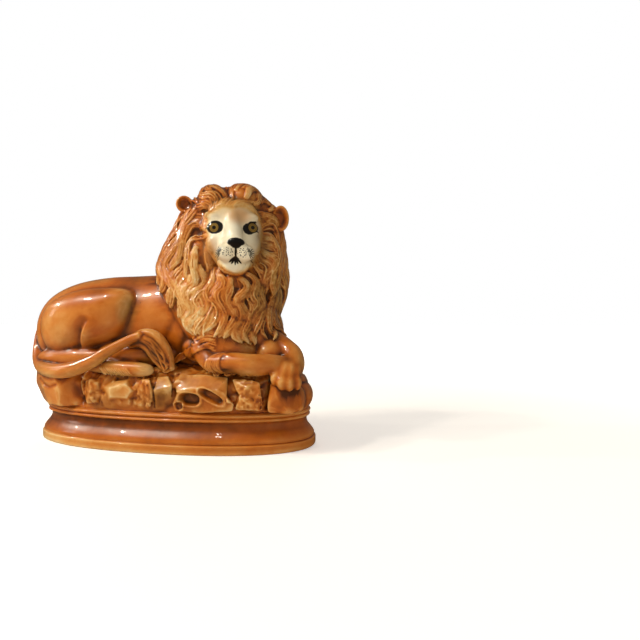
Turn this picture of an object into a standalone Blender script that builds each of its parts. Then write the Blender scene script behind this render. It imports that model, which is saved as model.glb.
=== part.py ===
"""A recumbent pottery lion on an oval rocky plinth, moulded and fired as one piece.

The lion lies along +X with its head turned over its near side, towards -Y.
Z is up and the plinth stands on z = 0 with its middle at the origin.
Sizes are written in millimetres and turned into metres by mm().
"""
import bmesh
import bpy
import numpy as np
from mathutils import Matrix, Vector
from mathutils.bvhtree import BVHTree


def mm(*values):
    """Millimetres as metres: one number, or an array of several."""
    scaled = np.array(values, dtype=float) * 0.001
    return float(scaled[0]) if len(values) == 1 else scaled


# Driving dimensions of the plinth and its mouldings
PLINTH_LENGTH = mm(292)
PLINTH_DEPTH = mm(120)
PLINTH_SQUARENESS = 2.25
PLINTH_SEGMENTS = 64

# The head: where the eyes' middle lies, and how far the face turns from -Y to +X
EYE_LEVEL = mm(78, -40, 205)
FACE_TURN = np.radians(22)

# How fine the forms are fused, and how many triangles the whole lion keeps
BASE_VOXEL = mm(2.0)
FORM_VOXEL = mm(1.5)
LION_TRIANGLES = 8100

# The modelled locks of the mane
LOCK_SPACING = mm(12.5)
LOCK_WIDTH = mm(8.0)
LOCK_LENGTHS = (mm(32), mm(52))
LOCK_WAVE = mm(30)
LOCK_SEED = 7

FACE_RIGHT = np.array([np.cos(FACE_TURN), np.sin(FACE_TURN), 0.0])
FACE_FRONT = np.array([np.sin(FACE_TURN), -np.cos(FACE_TURN), 0.0])
UPWARD = np.array([0.0, 0.0, 1.0])


def head(right, up, front):
    """A point given in millimetres from the middle of the eyes, in the face's own directions."""
    side, height, depth = mm(right, up, front)
    return EYE_LEVEL + FACE_RIGHT * side + UPWARD * height + FACE_FRONT * depth


def head_place(points):
    """World points as right, up and front distances from the middle of the eyes."""
    away = np.atleast_2d(points) - EYE_LEVEL
    return np.column_stack((away @ FACE_RIGHT, away @ UPWARD, away @ FACE_FRONT))


def fade(low, high, value):
    """A smooth rise from 0 at low to 1 at high."""
    part = np.clip((value - low) / (high - low), 0.0, 1.0)
    return part * part * (3.0 - 2.0 * part)


def curve_through(rows, count):
    """Rows read off a smooth curve that passes through every given row."""
    rows = np.array(rows, dtype=float)
    padded = np.vstack((2 * rows[0] - rows[1], rows, 2 * rows[-1] - rows[-2]))
    spans = len(rows) - 1
    result = []
    for place in np.linspace(0.0, spans, count):
        index = min(int(place), spans - 1)
        part = place - index
        before, start, end, after = padded[index:index + 4]
        slope_in = (end - before) * 0.5
        slope_out = (after - start) * 0.5
        cubic = 2 * start - 2 * end + slope_in + slope_out
        square = -3 * start + 3 * end - 2 * slope_in - slope_out
        result.append(start + part * (slope_in + part * (square + part * cubic)))
    return np.array(result)


def skin(clay, rings):
    """A closed tube of faces over rings of points, with a flat face at each end."""
    made = []
    for ring in rings:
        made.append([clay.verts.new(point) for point in ring])
    sides = len(made[0])
    for lower, upper in zip(made, made[1:]):
        for side in range(sides):
            following = (side + 1) % sides
            clay.faces.new((lower[side], lower[following], upper[following], upper[side]))
    clay.faces.new(list(reversed(made[0])))
    clay.faces.new(made[-1])


def blob(clay, centre, radii, turn=(0.0, 0.0, 0.0)):
    """An egg form: three half-sizes in millimetres, turned by angles in degrees."""
    place = Matrix.Translation(Vector(centre))
    for axis, angle in zip("XYZ", turn):
        place = place @ Matrix.Rotation(np.radians(angle), 4, axis)
    for axis, size in enumerate(mm(*radii)):
        direction = Vector((0.0, 0.0, 0.0))
        direction[axis] = 1.0
        place = place @ Matrix.Scale(size, 4, direction)
    bmesh.ops.create_icosphere(clay, subdivisions=3, radius=1.0, matrix=place)


def limb(clay, rows, sides=14, count=26, flat=1.0):
    """A round limb through rows of x, y, z and radius in millimetres, with rounded ends."""
    path = curve_through(np.array(rows, dtype=float) * 0.001, count)
    sweep(clay, path[:, :3], path[:, 3], path[:, 3] * flat, sides)


def sweep(clay, points, widths, heights, sides, normals=None):
    """A tube along points: half-width across and half-height along the given normals."""
    steps = np.gradient(points, axis=0)
    steps /= np.linalg.norm(steps, axis=1)[:, None] + 1e-12
    angles = np.linspace(0.0, 2 * np.pi, sides, endpoint=False)
    across = None
    rings = []
    for index, step in enumerate(steps):
        if normals is not None:
            across = np.cross(step, normals[index])
        elif across is None:
            across = np.cross(step, UPWARD if abs(step[2]) < 0.9 else np.array([0.0, 1.0, 0.0]))
        across = across - step * (across @ step)
        across /= np.linalg.norm(across) + 1e-12
        rise = np.cross(across, step)
        ring = (points[index]
                + np.cos(angles)[:, None] * across * widths[index]
                + np.sin(angles)[:, None] * rise * heights[index])
        rings.append(ring)
    first, last = rings[0], rings[-1]
    cap_in = points[0] - steps[0] * widths[0] * 0.6 + (first - points[0]) * 0.45
    cap_out = points[-1] + steps[-1] * widths[-1] * 0.6 + (last - points[-1]) * 0.45
    skin(clay, [cap_in] + rings + [cap_out])


def oval(inset, height, count, length=PLINTH_LENGTH, depth=PLINTH_DEPTH):
    """One level ring of the plinth's squarish oval, drawn in by inset."""
    angles = np.linspace(0.0, 2 * np.pi, count, endpoint=False)
    power = 2.0 / PLINTH_SQUARENESS
    along = np.sign(np.cos(angles)) * np.abs(np.cos(angles)) ** power
    back = np.sign(np.sin(angles)) * np.abs(np.sin(angles)) ** power
    return np.column_stack((along * (length / 2 - inset), back * (depth / 2 - inset),
                            np.full(count, height)))


# The plinth's section from the foot up: inset from the widest oval, and height
PLINTH_SECTION = mm(
    (1.0, 0.0), (0.0, 1.2), (0.0, 7.8), (1.4, 9.0),
    (1.6, 12.0), (4.6, 16.4), (8.0, 20.6), (8.8, 24.4), (7.6, 27.6),
    (5.6, 29.4), (7.0, 31.9), (4.9, 34.2), (8.4, 36.5))


def plinth():
    """The moulded oval foot: a plain band, a hollow and two beads under the rocks."""
    shape = bmesh.new()
    skin(shape, [oval(inset, height, PLINTH_SEGMENTS) for inset, height in PLINTH_SECTION])
    return shape


# Boulders in the front of the ground: middle x, y, z, then half-sizes, in millimetres
FRONT_ROCKS = (
    (-121, -14, 54, 18, 17, 18), (-110, -33, 52, 19, 12, 16), (-88, -46, 48, 13, 8, 14),
    (-66, -47, 52, 19, 8, 13), (-40, -48, 50, 13, 8, 17), (-16, -46, 56, 18, 9, 15),
    (12, -46, 62, 26, 10, 12), (34, -47, 50, 24, 9, 11), (2, -50, 42, 20, 7, 8),
    (62, -47, 52, 16, 9, 15), (84, -48, 45, 14, 8, 11), (90, -46, 58, 16, 9, 11),
    (118, -32, 46, 20, 16, 13), (127, -14, 54, 12, 13, 11), (128, 4, 47, 9, 16, 12),
    (-138, -14, 66, 14, 14, 9))

# The plainer boulders round the back: each row's inset, height and how many in a full turn
BACK_ROCK_ROWS = ((mm(14), mm(45), 24), (mm(18), mm(62), 21))


def rock(clay, centre, half_sizes, chance):
    """A boulder with broken faces: the hull of a few points scattered on an egg."""
    count = 15
    points = chance.normal(size=(count, 3))
    points /= np.linalg.norm(points, axis=1)[:, None]
    points = np.sign(points) * np.abs(points) ** 0.7
    made = [clay.verts.new(centre + point * half_sizes) for point in points]
    hull = bmesh.ops.convex_hull(clay, input=made)
    spare = [item for item in hull["geom_interior"] if isinstance(item, bmesh.types.BMVert)]
    bmesh.ops.delete(clay, geom=spare, context="VERTS")


def ground(clay):
    """The rocky ground: a solid bed in the plinth's outline with boulders round its edge."""
    chance = np.random.default_rng(3)
    levels = mm((10, 30), (11, 40), (13.5, 50), (15, 60), (18, 68), (25, 74), (33, 78))
    skin(clay, [oval(inset, height, 48) for inset, height in curve_through(levels, 14)])
    for x, y, z, half_x, half_y, half_z in FRONT_ROCKS:
        rock(clay, mm(x, y, z), mm(half_x, half_y, half_z), chance)
    blob(clay, mm(-124, -16, 63), (17, 18, 15))
    for inset, height, count in BACK_ROCK_ROWS:
        for place in oval(inset, height, count):
            if place[1] > mm(-8):
                size = mm(15, 12, 12) * chance.uniform(0.75, 1.15, 3)
                rise = chance.uniform(mm(-5), mm(5))
                rock(clay, place + np.array([0.0, 0.0, rise]), size, chance)


# The trunk from rump to chest: x, y, z, half-depth and half-height in millimetres
TRUNK = (
    (-157, 4, 107, 7, 10), (-152, 4, 108, 20, 24), (-139, 4, 110, 32, 38.7), (-113, 4, 111, 38, 49),
    (-78, 4, 111, 38, 54.5), (-40, 4, 113, 37, 53.5), (-8, 3, 115, 38, 52.5), (26, 4, 118, 39, 54),
    (60, 4, 118, 38, 50), (86, 4, 112, 36, 44), (102, 2, 104, 28, 30), (109, 0, 100, 12, 14))


def trunk(clay):
    """The long body, a swept oval lying along X."""
    rings = []
    angles = np.linspace(0.0, 2 * np.pi, 28, endpoint=False)
    for x, y, z, half_depth, half_height in curve_through(mm(*TRUNK), 44):
        rings.append(np.column_stack((np.full(28, x), y + np.cos(angles) * half_depth,
                                      z + np.sin(angles) * half_height)))
    skin(clay, rings)


# The thighs: middle x, y, z, half-sizes, then the tilt in degrees about the depth axis
THIGHS = (
    (-84, -18, 115, 42, 30, 35, 0), (-58, -19, 121, 37, 32, 31, 0), (-78, -27, 127, 38, 22, 19, 0),
    (-101, -36, 105, 19, 18, 23, -18), (-54, -36, 112, 30, 19, 25, 25),
    (-80, 22, 114, 42, 29, 36, 0), (-88, -34, 82, 48, 16, 15, 0))
# The near hind foot lying along the rocks, and its toes: x, y, z and radius
HIND_FOOT = ((-60, -38, 76, 6), (-42, -45, 76, 7), (-22, -49, 77, 7), (-2, -50, 77.5, 7))
HIND_TOES = ((-14, -48, 73, 5), (4, -49, 77, 6.5), (9, -47, 76, 6))


def hindquarters(clay):
    """Both thighs, the near one with its buttock and fold, and the near hind foot."""
    for x, y, z, half_x, half_y, half_z, tilt in THIGHS:
        blob(clay, mm(x, y, z), (half_x, half_y, half_z), (0, tilt, 0))
    limb(clay, HIND_FOOT)
    limb(clay, HIND_TOES)


# The tail from its root: x, y, z and radius in millimetres
TAIL = (
    (-130, 2, 138, 5), (-148, -2, 125, 7.5), (-151.5, -9, 107, 8), (-148, -15, 91, 8),
    (-140, -25, 79, 8), (-122, -38, 72.5, 7.5), (-100, -48, 71, 7), (-74, -54, 71.5, 6.8),
    (-52, -56, 78, 6.3),
    (-36, -55, 88, 6), (-20, -53, 98, 6), (-8, -51, 104, 6))
# The hair at the tail's end: each lock's points x, y, z and radius in millimetres
TAIL_TUFT = (
    ((-12, -51, 104, 5), (2, -51, 101, 5), (10, -52, 90, 4.5), (20, -51, 80, 2)),
    ((-10, -50, 107, 4), (8, -48, 103, 4.5), (17, -48, 92, 4), (27, -48, 84, 2)),
    ((-12, -53, 100, 4), (-2, -54, 95, 4.5), (4, -54, 85, 4), (9, -54, 76, 2)))


def tail(clay):
    """The tail, which runs down the rump, under the thigh and up to its tuft on the flank."""
    limb(clay, TAIL, count=46)
    for lock in TAIL_TUFT:
        limb(clay, lock, sides=8, count=10)


# The far foreleg and its paw, and the near forearm: x, y, z and radius in millimetres
NEAR_FOREARM = ((40, -36, 98, 13), (52, -44, 86, 11), (70, -49, 79, 10), (98, -50, 74, 9.5),
                (120, -50, 70, 9))
FAR_FORELEG = ((96, -4, 104, 13), (110, -10, 97, 11.5), (121, -15, 91, 12), (127.5, -21, 85, 13.5),
               (129, -29, 77, 11), (128, -35, 70, 10))
TOE_TIPS = ((117, -49, 61), (124.5, -50.5, 58), (131, -47.5, 56), (136, -41, 57))


# The curls at the near elbow: each lock's points x, y, z and radius in millimetres
ELBOW_CURLS = (
    ((36, -47, 104, 2.5), (45, -50, 106, 3.4), (54, -50, 101, 3), (60, -49, 95, 1.6)),
    ((34, -47, 98, 2.5), (43, -51, 99, 3.4), (52, -52, 95, 3), (57, -51, 89, 1.6)),
    ((35, -46, 92, 2.5), (43, -50, 92, 3.2), (51, -52, 88, 3), (54, -52, 82, 1.6)),
    ((62, -50, 88, 2.5), (57, -53, 83, 3.2), (54, -54, 76, 2.6), (57, -54, 70, 1.6)),
    ((68, -51, 88, 2.5), (64, -54, 83, 3.2), (61, -55, 76, 2.6), (64, -55, 70, 1.6)))


# The near shoulder and elbow, the breast between the forelegs and the far paw's palm:
# middle x, y, z, half-sizes, then the tilt in degrees about the depth axis
SHOULDERS = (
    (28, -20, 108, 32, 25, 36, 10), (44, -34, 94, 17, 14, 15, 0), (106, -14, 84, 19, 20, 22, 0),
    (125, -33, 70, 12, 12, 12, 0))


def forelegs(clay):
    """The near shoulder and forearm, and the far leg whose paw hangs over the rocks."""
    for x, y, z, half_x, half_y, half_z, tilt in SHOULDERS:
        blob(clay, mm(x, y, z), (half_x, half_y, half_z), (0, tilt, 0))
    limb(clay, NEAR_FOREARM)
    limb(clay, FAR_FORELEG)
    for curl in ELBOW_CURLS:
        limb(clay, curl, sides=8, count=10)
    for x, y, z in TOE_TIPS:
        limb(clay, ((127 + (x - 127) * 0.5, y + 13, z + 20, 5), (x, y + 4, z + 11, 5.2),
                    (x, y, z + 2, 5.2), (x, y + 1, z - 3, 3.5)), sides=10, count=12)


# The mane's mass by height: up, left and right edges, front and back, from the eyes' middle
MANE_LEVELS = (
    (43, -23, 20, -24, -58), (34, -36, 35.5, -17, -68), (20, -48, 46, -15, -80),
    (2, -57.5, 50, -15, -88), (-18, -67.5, 53, -16, -94), (-42, -74, 56, -17, -98),
    (-62, -70, 51.5, -9, -98), (-84, -58, 44, -1, -94), (-104, -46, 41, 4, -86),
    (-118, -36, 34, 5, -74), (-127, -22, 22, 0, -60))


# The two lobes of hair on the crown: right, up and front of the eyes' middle, then half-sizes
MANE_LOBES = ((-16, 27.5, -36, 18, 28, 18), (10, 29.5, -36, 20, 28, 18))


def mane_mass(clay):
    """The mane's full form, without its locks: an upright swept oval and two lobes on top."""
    rings = []
    angles = np.linspace(0.0, 2 * np.pi, 32, endpoint=False)
    for up, left, right, front, back in curve_through(MANE_LEVELS, 34):
        centre = head((left + right) / 2, up, (front + back) / 2)
        half_side = mm((right - left) / 2)
        half_deep = mm((front - back) / 2)
        rings.append(centre
                     + np.cos(angles)[:, None] * FACE_RIGHT * half_side
                     - np.sin(angles)[:, None] * FACE_FRONT * half_deep)
    rings.reverse()
    skin(clay, rings)
    turn = (0.0, 0.0, np.degrees(FACE_TURN))
    for right, up, front, half_side, half_deep, half_tall in MANE_LOBES:
        blob(clay, head(right, up, front), (half_side, half_deep, half_tall), turn)


# The face: skull, jaw, forehead, brows, muzzle, cheeks, whisker pads, chin, nose and eye swells,
# each by its right, up and front of the eyes' middle, then its half-sizes
FACE_FORMS = (
    (0, -2, -26, 31, 30, 36), (0, -18, -12, 24, 22, 24), (0, 14, -14, 22, 16, 14),
    (-17, 9, -8, 11, 8, 5), (17, 9, -8, 11, 8, 5), (0, -22, 2, 15, 17, 14),
    (-19, -18, -10, 11, 13, 14), (19, -18, -10, 11, 13, 14),
    (-8.5, -27, 9, 10.5, 9.5, 8.5), (8.5, -27, 9, 10.5, 9.5, 8.5),
    (0, -39, 4, 10, 10, 7.5), (0, -13.5, 14.5, 9.0, 7, 6.5),
    (-18.5, 0, -9, 9, 9, 7), (18.5, 0, -9, 9, 9, 7))
# The bridge of the nose: up and front of the eyes' middle, and radius
NOSE_BRIDGE = ((10, -6, 9), (0, 0, 8.5), (-9, 8, 8), (-13, 11, 7.5))


def face(clay):
    """The face, its forms melted together from brow to chin."""
    turn = (0.0, 0.0, np.degrees(FACE_TURN))
    for right, up, front, half_side, half_deep, half_tall in FACE_FORMS:
        blob(clay, head(right, up, front), (half_side, half_deep, half_tall), turn)
    limb(clay, [np.append(head(0, up, front) * 1000, radius)
                for up, front, radius in NOSE_BRIDGE])


def ear(clay, right, up, front, half_side, half_tall):
    """A cupped ear: a thin rounded leaf with a thicker rim round it."""
    turn = (0.0, 0.0, np.degrees(FACE_TURN))
    blob(clay, head(right, up, front), (half_side, 3.2, half_tall), turn)
    rim = []
    for angle in np.radians(np.linspace(-40, 220, 11)):
        place = head(right + np.cos(angle) * half_side * 0.82,
                     up + np.sin(angle) * half_tall * 0.82, front + 2.0)
        rim.append(np.append(place * 1000, 2.4))
    limb(clay, rim, sides=8, count=22)


def ears(clay):
    """The left ear, small and high, and the right ear, larger and lower."""
    ear(clay, -46, 29, -34, 8, 8)
    ear(clay, 48, 17, -34, 8.5, 14)
    blob(clay, head(-40, 21, -40), (11, 9, 12))
    blob(clay, head(40, 12, -40), (11, 9, 15))


def as_object(clay, name):
    """An object made from the worked mesh."""
    bmesh.ops.recalc_face_normals(clay, faces=clay.faces[:])
    mesh = bpy.data.meshes.new(name)
    clay.to_mesh(mesh)
    clay.free()
    item = bpy.data.objects.new(name, mesh)
    bpy.context.scene.collection.objects.link(item)
    return item


def fuse(item, voxel, rounds):
    """Fuse the overlapping forms into one skin and soften the joins."""
    remesh = item.modifiers.new("Fuse", "REMESH")
    remesh.mode = "VOXEL"
    remesh.voxel_size = voxel
    soften = item.modifiers.new("Soften", "SMOOTH")
    soften.factor = 0.5
    soften.iterations = rounds


def settled(item):
    """The object's mesh with its modifiers worked out; the object itself goes."""
    view = bpy.context.evaluated_depsgraph_get()
    view.update()
    mesh = bpy.data.meshes.new_from_object(item.evaluated_get(view), depsgraph=view)
    bpy.data.objects.remove(item)
    return mesh


def hair_direction(place):
    """Which way the mane lies at a point: out from the face, then down."""
    side, up, front = head_place(place)[0] * 1000
    outward = np.array([side + 4.0, up + 4.0])
    reach = np.linalg.norm(outward)
    outward /= reach + 1e-9
    falling = 0.2 + 0.8 * fade(26.0, 66.0, reach)
    falling *= 1.0 - 0.85 * fade(14.0, 34.0, up) * fade(-60.0, -40.0, front)
    falling = max(falling, float(fade(-40.0, -70.0, front)))
    flow = FACE_RIGHT * outward[0] + UPWARD * outward[1]
    return flow * (1.1 - falling) - UPWARD * falling


def lock(clay, surface, start, length, width, swing, phase, sides=6):
    """One wavy lock laid on the surface from its root to a pointed tip."""
    count = 11
    stride = length / (count - 1)
    place = Vector(start)
    points = []
    normals = []
    for index in range(count):
        along = index / (count - 1)
        place, normal, _, _ = surface.find_nearest(place)
        normal = np.array(normal)
        lift = width * (0.05 + 0.3 * np.sin(np.pi * min(along * 1.1, 1.0)))
        points.append(np.array(place) + normal * lift)
        normals.append(normal)
        flow = hair_direction(np.array(place))
        flow = flow - normal * (flow @ normal)
        flow /= np.linalg.norm(flow) + 1e-9
        angle = swing * np.sin(phase + along * 2 * np.pi * length / LOCK_WAVE)
        sideways = np.cross(normal, flow)
        step = flow * np.cos(angle) + sideways * np.sin(angle)
        place = Vector(np.array(place) + step * stride)
    along = np.linspace(0.0, 1.0, count)
    swell = np.sin(np.pi * np.clip(0.18 + along * 0.82, 0, 1)) ** 0.7
    widths = width * 0.5 * (0.12 + 0.88 * swell)
    sweep(clay, np.array(points), widths, widths * 0.8, sides, np.array(normals))


def in_mane(place):
    """Whether a point of the base form carries hair, and is not on the face."""
    side, up, front = (head_place(place) * 1000).T
    on_face = ((side / 29.0) ** 2 + ((up + 10.0) / 35.0) ** 2 < 1.0) & (front > -34.0)
    return ~on_face & (up > -118.0) & (up < 50.0)


def mane_roots(base, mane_surface, spacing):
    """Points spread evenly over the mane's surface, at least spacing apart."""
    places = np.array([vertex.co[:] for vertex in base.vertices])
    places = places[in_mane(places)]
    order = np.random.default_rng(LOCK_SEED).permutation(len(places))
    kept = []
    for index in order:
        place = places[index]
        if kept and np.min(np.sum((np.array(kept) - place) ** 2, axis=1)) < spacing ** 2:
            continue
        if mane_surface.find_nearest(Vector(place))[3] < mm(2.2):
            kept.append(place)
    return kept


def mane_locks(clay, base, surface, mane_surface):
    """The carved locks over the whole mane."""
    chance = np.random.default_rng(LOCK_SEED + 1)
    for root in mane_roots(base, mane_surface, LOCK_SPACING):
        length = chance.uniform(*LOCK_LENGTHS)
        width = LOCK_WIDTH * chance.uniform(0.8, 1.15)
        swing = np.radians(chance.uniform(15, 38))
        lock(clay, surface, root, length, width, swing, chance.uniform(0, 2 * np.pi))


def glazed_earthenware():
    """Cream earthenware under a warm brown lead glaze."""
    material = bpy.data.materials.new("glazed_earthenware")
    material.use_nodes = True
    shader = material.node_tree.nodes["Principled BSDF"]
    shader.inputs["Base Color"].default_value = (0.50, 0.17, 0.035, 1.0)
    shader.inputs["Roughness"].default_value = 0.12
    shader.inputs["Metallic"].default_value = 0.0
    return material


def build_lion():
    """The whole figure: forms fused, locks laid on, thinned out and set on its plinth."""
    for item in list(bpy.data.objects):
        bpy.data.objects.remove(item)
    alone = bmesh.new()
    mane_mass(alone)
    mane_surface = BVHTree.FromBMesh(alone)
    alone.free()

    clay = bmesh.new()
    for form in (trunk, hindquarters, forelegs, mane_mass, face):
        form(clay)
    base_item = as_object(clay, "base")
    fuse(base_item, BASE_VOXEL, 5)
    base = settled(base_item)
    surface_mesh = bmesh.new()
    surface_mesh.from_mesh(base)
    surface = BVHTree.FromBMesh(surface_mesh)

    ground(surface_mesh)
    tail(surface_mesh)
    ears(surface_mesh)
    mane_locks(surface_mesh, base, surface, mane_surface)
    lion = as_object(surface_mesh, "lion")
    fuse(lion, FORM_VOXEL, 3)
    fused = settled(lion)
    fused.shade_smooth()
    lion = bpy.data.objects.new("lion", fused)
    bpy.context.scene.collection.objects.link(lion)
    thin = lion.modifiers.new("Thin", "DECIMATE")
    thin.ratio = LION_TRIANGLES / (2 * len(fused.polygons))
    foot = as_object(plinth(), "plinth_form")
    foot.hide_render = True
    foot.display_type = "WIRE"
    union = lion.modifiers.new("Plinth", "BOOLEAN")
    union.operation = "UNION"
    union.object = foot
    lion.data.materials.append(glazed_earthenware())
    return lion


build_lion()
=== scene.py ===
"""A pottery lion on its rocky plinth, glazed in warm browns, in a pale studio.

Sizes are written in millimetres and turned into metres by mm().
"""
import bmesh
import bpy
import numpy as np
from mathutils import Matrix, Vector, noise
from mathutils.bvhtree import BVHTree
from mathutils.kdtree import KDTree


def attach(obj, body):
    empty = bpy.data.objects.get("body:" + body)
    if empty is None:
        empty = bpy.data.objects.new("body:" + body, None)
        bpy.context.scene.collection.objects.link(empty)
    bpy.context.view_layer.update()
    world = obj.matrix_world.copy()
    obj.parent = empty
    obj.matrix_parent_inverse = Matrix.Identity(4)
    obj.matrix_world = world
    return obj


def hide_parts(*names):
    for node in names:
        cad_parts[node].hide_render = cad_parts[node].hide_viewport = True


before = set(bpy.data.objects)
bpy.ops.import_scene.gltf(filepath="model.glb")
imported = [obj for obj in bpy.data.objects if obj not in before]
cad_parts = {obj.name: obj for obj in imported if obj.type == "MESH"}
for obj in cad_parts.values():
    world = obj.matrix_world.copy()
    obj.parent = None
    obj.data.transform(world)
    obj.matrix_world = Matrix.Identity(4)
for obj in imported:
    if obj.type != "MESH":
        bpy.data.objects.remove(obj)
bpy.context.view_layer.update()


# The plinth
# A squarish oval foot thrown in the same mould as the lion: a plain band, a deep hollow and two
# fine beads. The moulding is crisp but its edges are rounded by the glaze.
PLINTH_LENGTH, PLINTH_DEPTH = 0.292, 0.120
PLINTH_SQUARENESS = 2.25


def mm(*values):
    """Millimetres as metres: one number, or an array of several."""
    scaled = np.array(values, dtype=float) * 0.001
    return float(scaled[0]) if len(values) == 1 else scaled


def curve_through(rows, count):
    """Rows read off a smooth curve that passes through every given row."""
    rows = np.array(rows, dtype=float)
    padded = np.vstack((2 * rows[0] - rows[1], rows, 2 * rows[-1] - rows[-2]))
    spans = len(rows) - 1
    places = np.linspace(0.0, spans, count)
    index = np.minimum(places.astype(int), spans - 1)
    part = (places - index)[:, None]
    before, start, end, after = (padded[index + step] for step in range(4))
    slope_in = (end - before) * 0.5
    slope_out = (after - start) * 0.5
    cubic = 2 * start - 2 * end + slope_in + slope_out
    square = -3 * start + 3 * end - 2 * slope_in - slope_out
    return start + part * (slope_in + part * (square + part * cubic))


def oval(inset, height, count):
    """One level ring of the plinth's squarish oval, drawn in by inset."""
    angles = np.linspace(0.0, 2 * np.pi, count, endpoint=False)
    power = 2.0 / PLINTH_SQUARENESS
    along = np.sign(np.cos(angles)) * np.abs(np.cos(angles)) ** power
    back = np.sign(np.sin(angles)) * np.abs(np.sin(angles)) ** power
    return np.column_stack((along * (PLINTH_LENGTH / 2 - inset),
                            back * (PLINTH_DEPTH / 2 - inset), np.full(count, height)))


class Clay:
    """Points and faces gathered from many overlapping forms."""

    def __init__(self):
        self.points, self.faces, self.count = [], [], 0

    def add(self, points, faces):
        """Take in one closed form."""
        self.points.append(np.asarray(points))
        self.faces.extend((np.asarray(part) + self.count).tolist() for part in faces)
        self.count += len(points)

    def skin(self, rings):
        """Take in a closed tube over rings of points, drawn to a point in each end's middle."""
        rings = np.asarray(rings)
        levels, sides = rings.shape[:2]
        index = np.arange(levels * sides).reshape(levels, sides)
        turned = np.roll(index, -1, axis=1)
        walls = np.stack((index[:-1], turned[:-1], turned[1:], index[1:]), axis=-1)
        ends = np.vstack((rings[0].mean(axis=0), rings[-1].mean(axis=0)))
        first = np.full(sides, levels * sides)
        foot = np.stack((turned[0], index[0], first), axis=-1)
        top = np.stack((index[-1], turned[-1], first + 1), axis=-1)
        self.add(np.vstack((rings.reshape(-1, 3), ends)), (walls.reshape(-1, 4), foot, top))

    def take(self, mesh):
        """Take in every face of a finished mesh of quads."""
        points = np.empty(len(mesh.vertices) * 3)
        mesh.vertices.foreach_get("co", points)
        corners = np.empty(len(mesh.loops), dtype=int)
        mesh.loops.foreach_get("vertex_index", corners)
        self.add(points.reshape(-1, 3), (corners.reshape(len(mesh.polygons), -1),))

    def item(self, name):
        """An object made of everything gathered."""
        mesh = bpy.data.meshes.new(name)
        faces = [face for group in self.faces for face in group]
        mesh.from_pydata(np.vstack(self.points).tolist(), [], faces)
        made = bpy.data.objects.new(name, mesh)
        bpy.context.scene.collection.objects.link(made)
        return made


PLINTH_SECTION = mm(
    (1.6, 0.0), (0.5, 0.7), (0.0, 2.2), (0.0, 7.2), (0.5, 8.4), (1.9, 9.0), (1.5, 9.7), (1.5, 11.6),
    (2.6, 13.9), (4.9, 16.9), (7.2, 19.8), (8.5, 22.6), (8.9, 25.0), (8.5, 26.9), (7.2, 28.0),
    (5.8, 28.7), (5.5, 29.9), (6.4, 30.9), (7.1, 31.4), (6.0, 32.2), (5.0, 33.3), (5.2, 34.5),
    (6.8, 35.6), (9.2, 36.4))
plinth = Clay()
plinth.skin([oval(max(inset, 0.0), height, 176)
             for inset, height in curve_through(PLINTH_SECTION, 54)])


# The rocks
# Broken stone pressed in the mould round a solid bed: chipped blocks with worn pale arrises, three
# hollows with raised rims, a smooth outcrop under the rump and another under the hanging paw.
# Each block's corners x, y, z: a bevelled block, a rough panel, a khaki block, a slope, the low ledge
# with the hollows, two broken faces and a heap of rubble
BLOCKS = (
    ((-46.5, -51, 57.5), (-37, -51, 62.5), (-20, -51, 65.5), (-10, -51, 54.5), (-17, -51, 44.5),
     (-42, -51, 44.5), (-35, -57.5, 57.5), (-18.5, -57.5, 62), (-12.5, -57.5, 55.5), (-17.5, -57.5, 49),
     (-34, -57.5, 49.5), (-56.5, -36, 56), (-28.5, -36, 62.5), (-24, -36, 43.5), (-54.5, -36, 42)),
    ((7, -58, 65.5), (9, -58, 55.5), (7, -57, 42.5), (-14.5, -50, 65.5), (-11, -51, 54), (-7.5, -50, 41.5),
     (-16.5, -44, 67.5), (-2, -44, 68), (-2.5, -50, 38), (-22, -36, 64.5), (-7, -36, 44), (-17.5, -36, 39.5)),
    ((10, -58.5, 56.5), (24, -58.5, 58), (28, -57, 62), (3, -49, 67.5), (19.5, -49, 69), (6.5, -52.5, 39),
     (16.5, -52.5, 39.5), (24.5, -52.5, 45), (-3.5, -38, 65), (15, -38, 65.5), (13, -38, 39.5),
     (-2.5, -38, 38.5)),
    ((31.5, -56, 56), (45, -56, 59), (55.5, -56, 60), (69.5, -56, 58), (79.5, -55.5, 51), (23, -45, 68.5),
     (49, -45, 71), (76.5, -46, 69), (20, -36, 65.5), (70.5, -36, 67), (70.5, -36, 50.5), (22, -36, 52.5)),
    ((33, -55.5, 57), (54, -55.5, 60), (75, -55.5, 57), (86, -55, 46), (84, -54, 40.5),
     (53.5, -54, 37.5), (34, -54, 38.5), (27.5, -54.5, 44.5), (21.5, -40, 49.5), (78, -40, 47.5),
     (76, -40, 37.5), (22.5, -40, 36.5)),
    ((91.5, -54.5, 54), (97, -55.5, 61.5), (111, -53.5, 52), (81.5, -49, 68), (99, -50, 67.5),
     (108, -50, 65.5), (86.5, -52, 59.5), (79, -38, 65.5), (102, -38, 64.5), (104, -38, 50), (85, -38, 51)),
    ((92, -56.5, 53.5), (98, -57, 48.5), (107.5, -56, 42), (110.5, -52, 51), (110.5, -52, 41.5),
     (86, -52.5, 41.5), (83.5, -40, 51.5), (104.5, -40, 50.5), (104.5, -40, 39.5), (83.5, -40, 39)),
    ((-67, -49, 62), (-59, -53, 65), (-51, -52.5, 61), (-48, -53, 50), (-54, -55, 43), (-62, -53, 41),
     (-68, -49, 50), (-57, -57, 53), (-66, -38, 64), (-48, -38, 62), (-48, -38, 42), (-66, -38, 42)))
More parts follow.
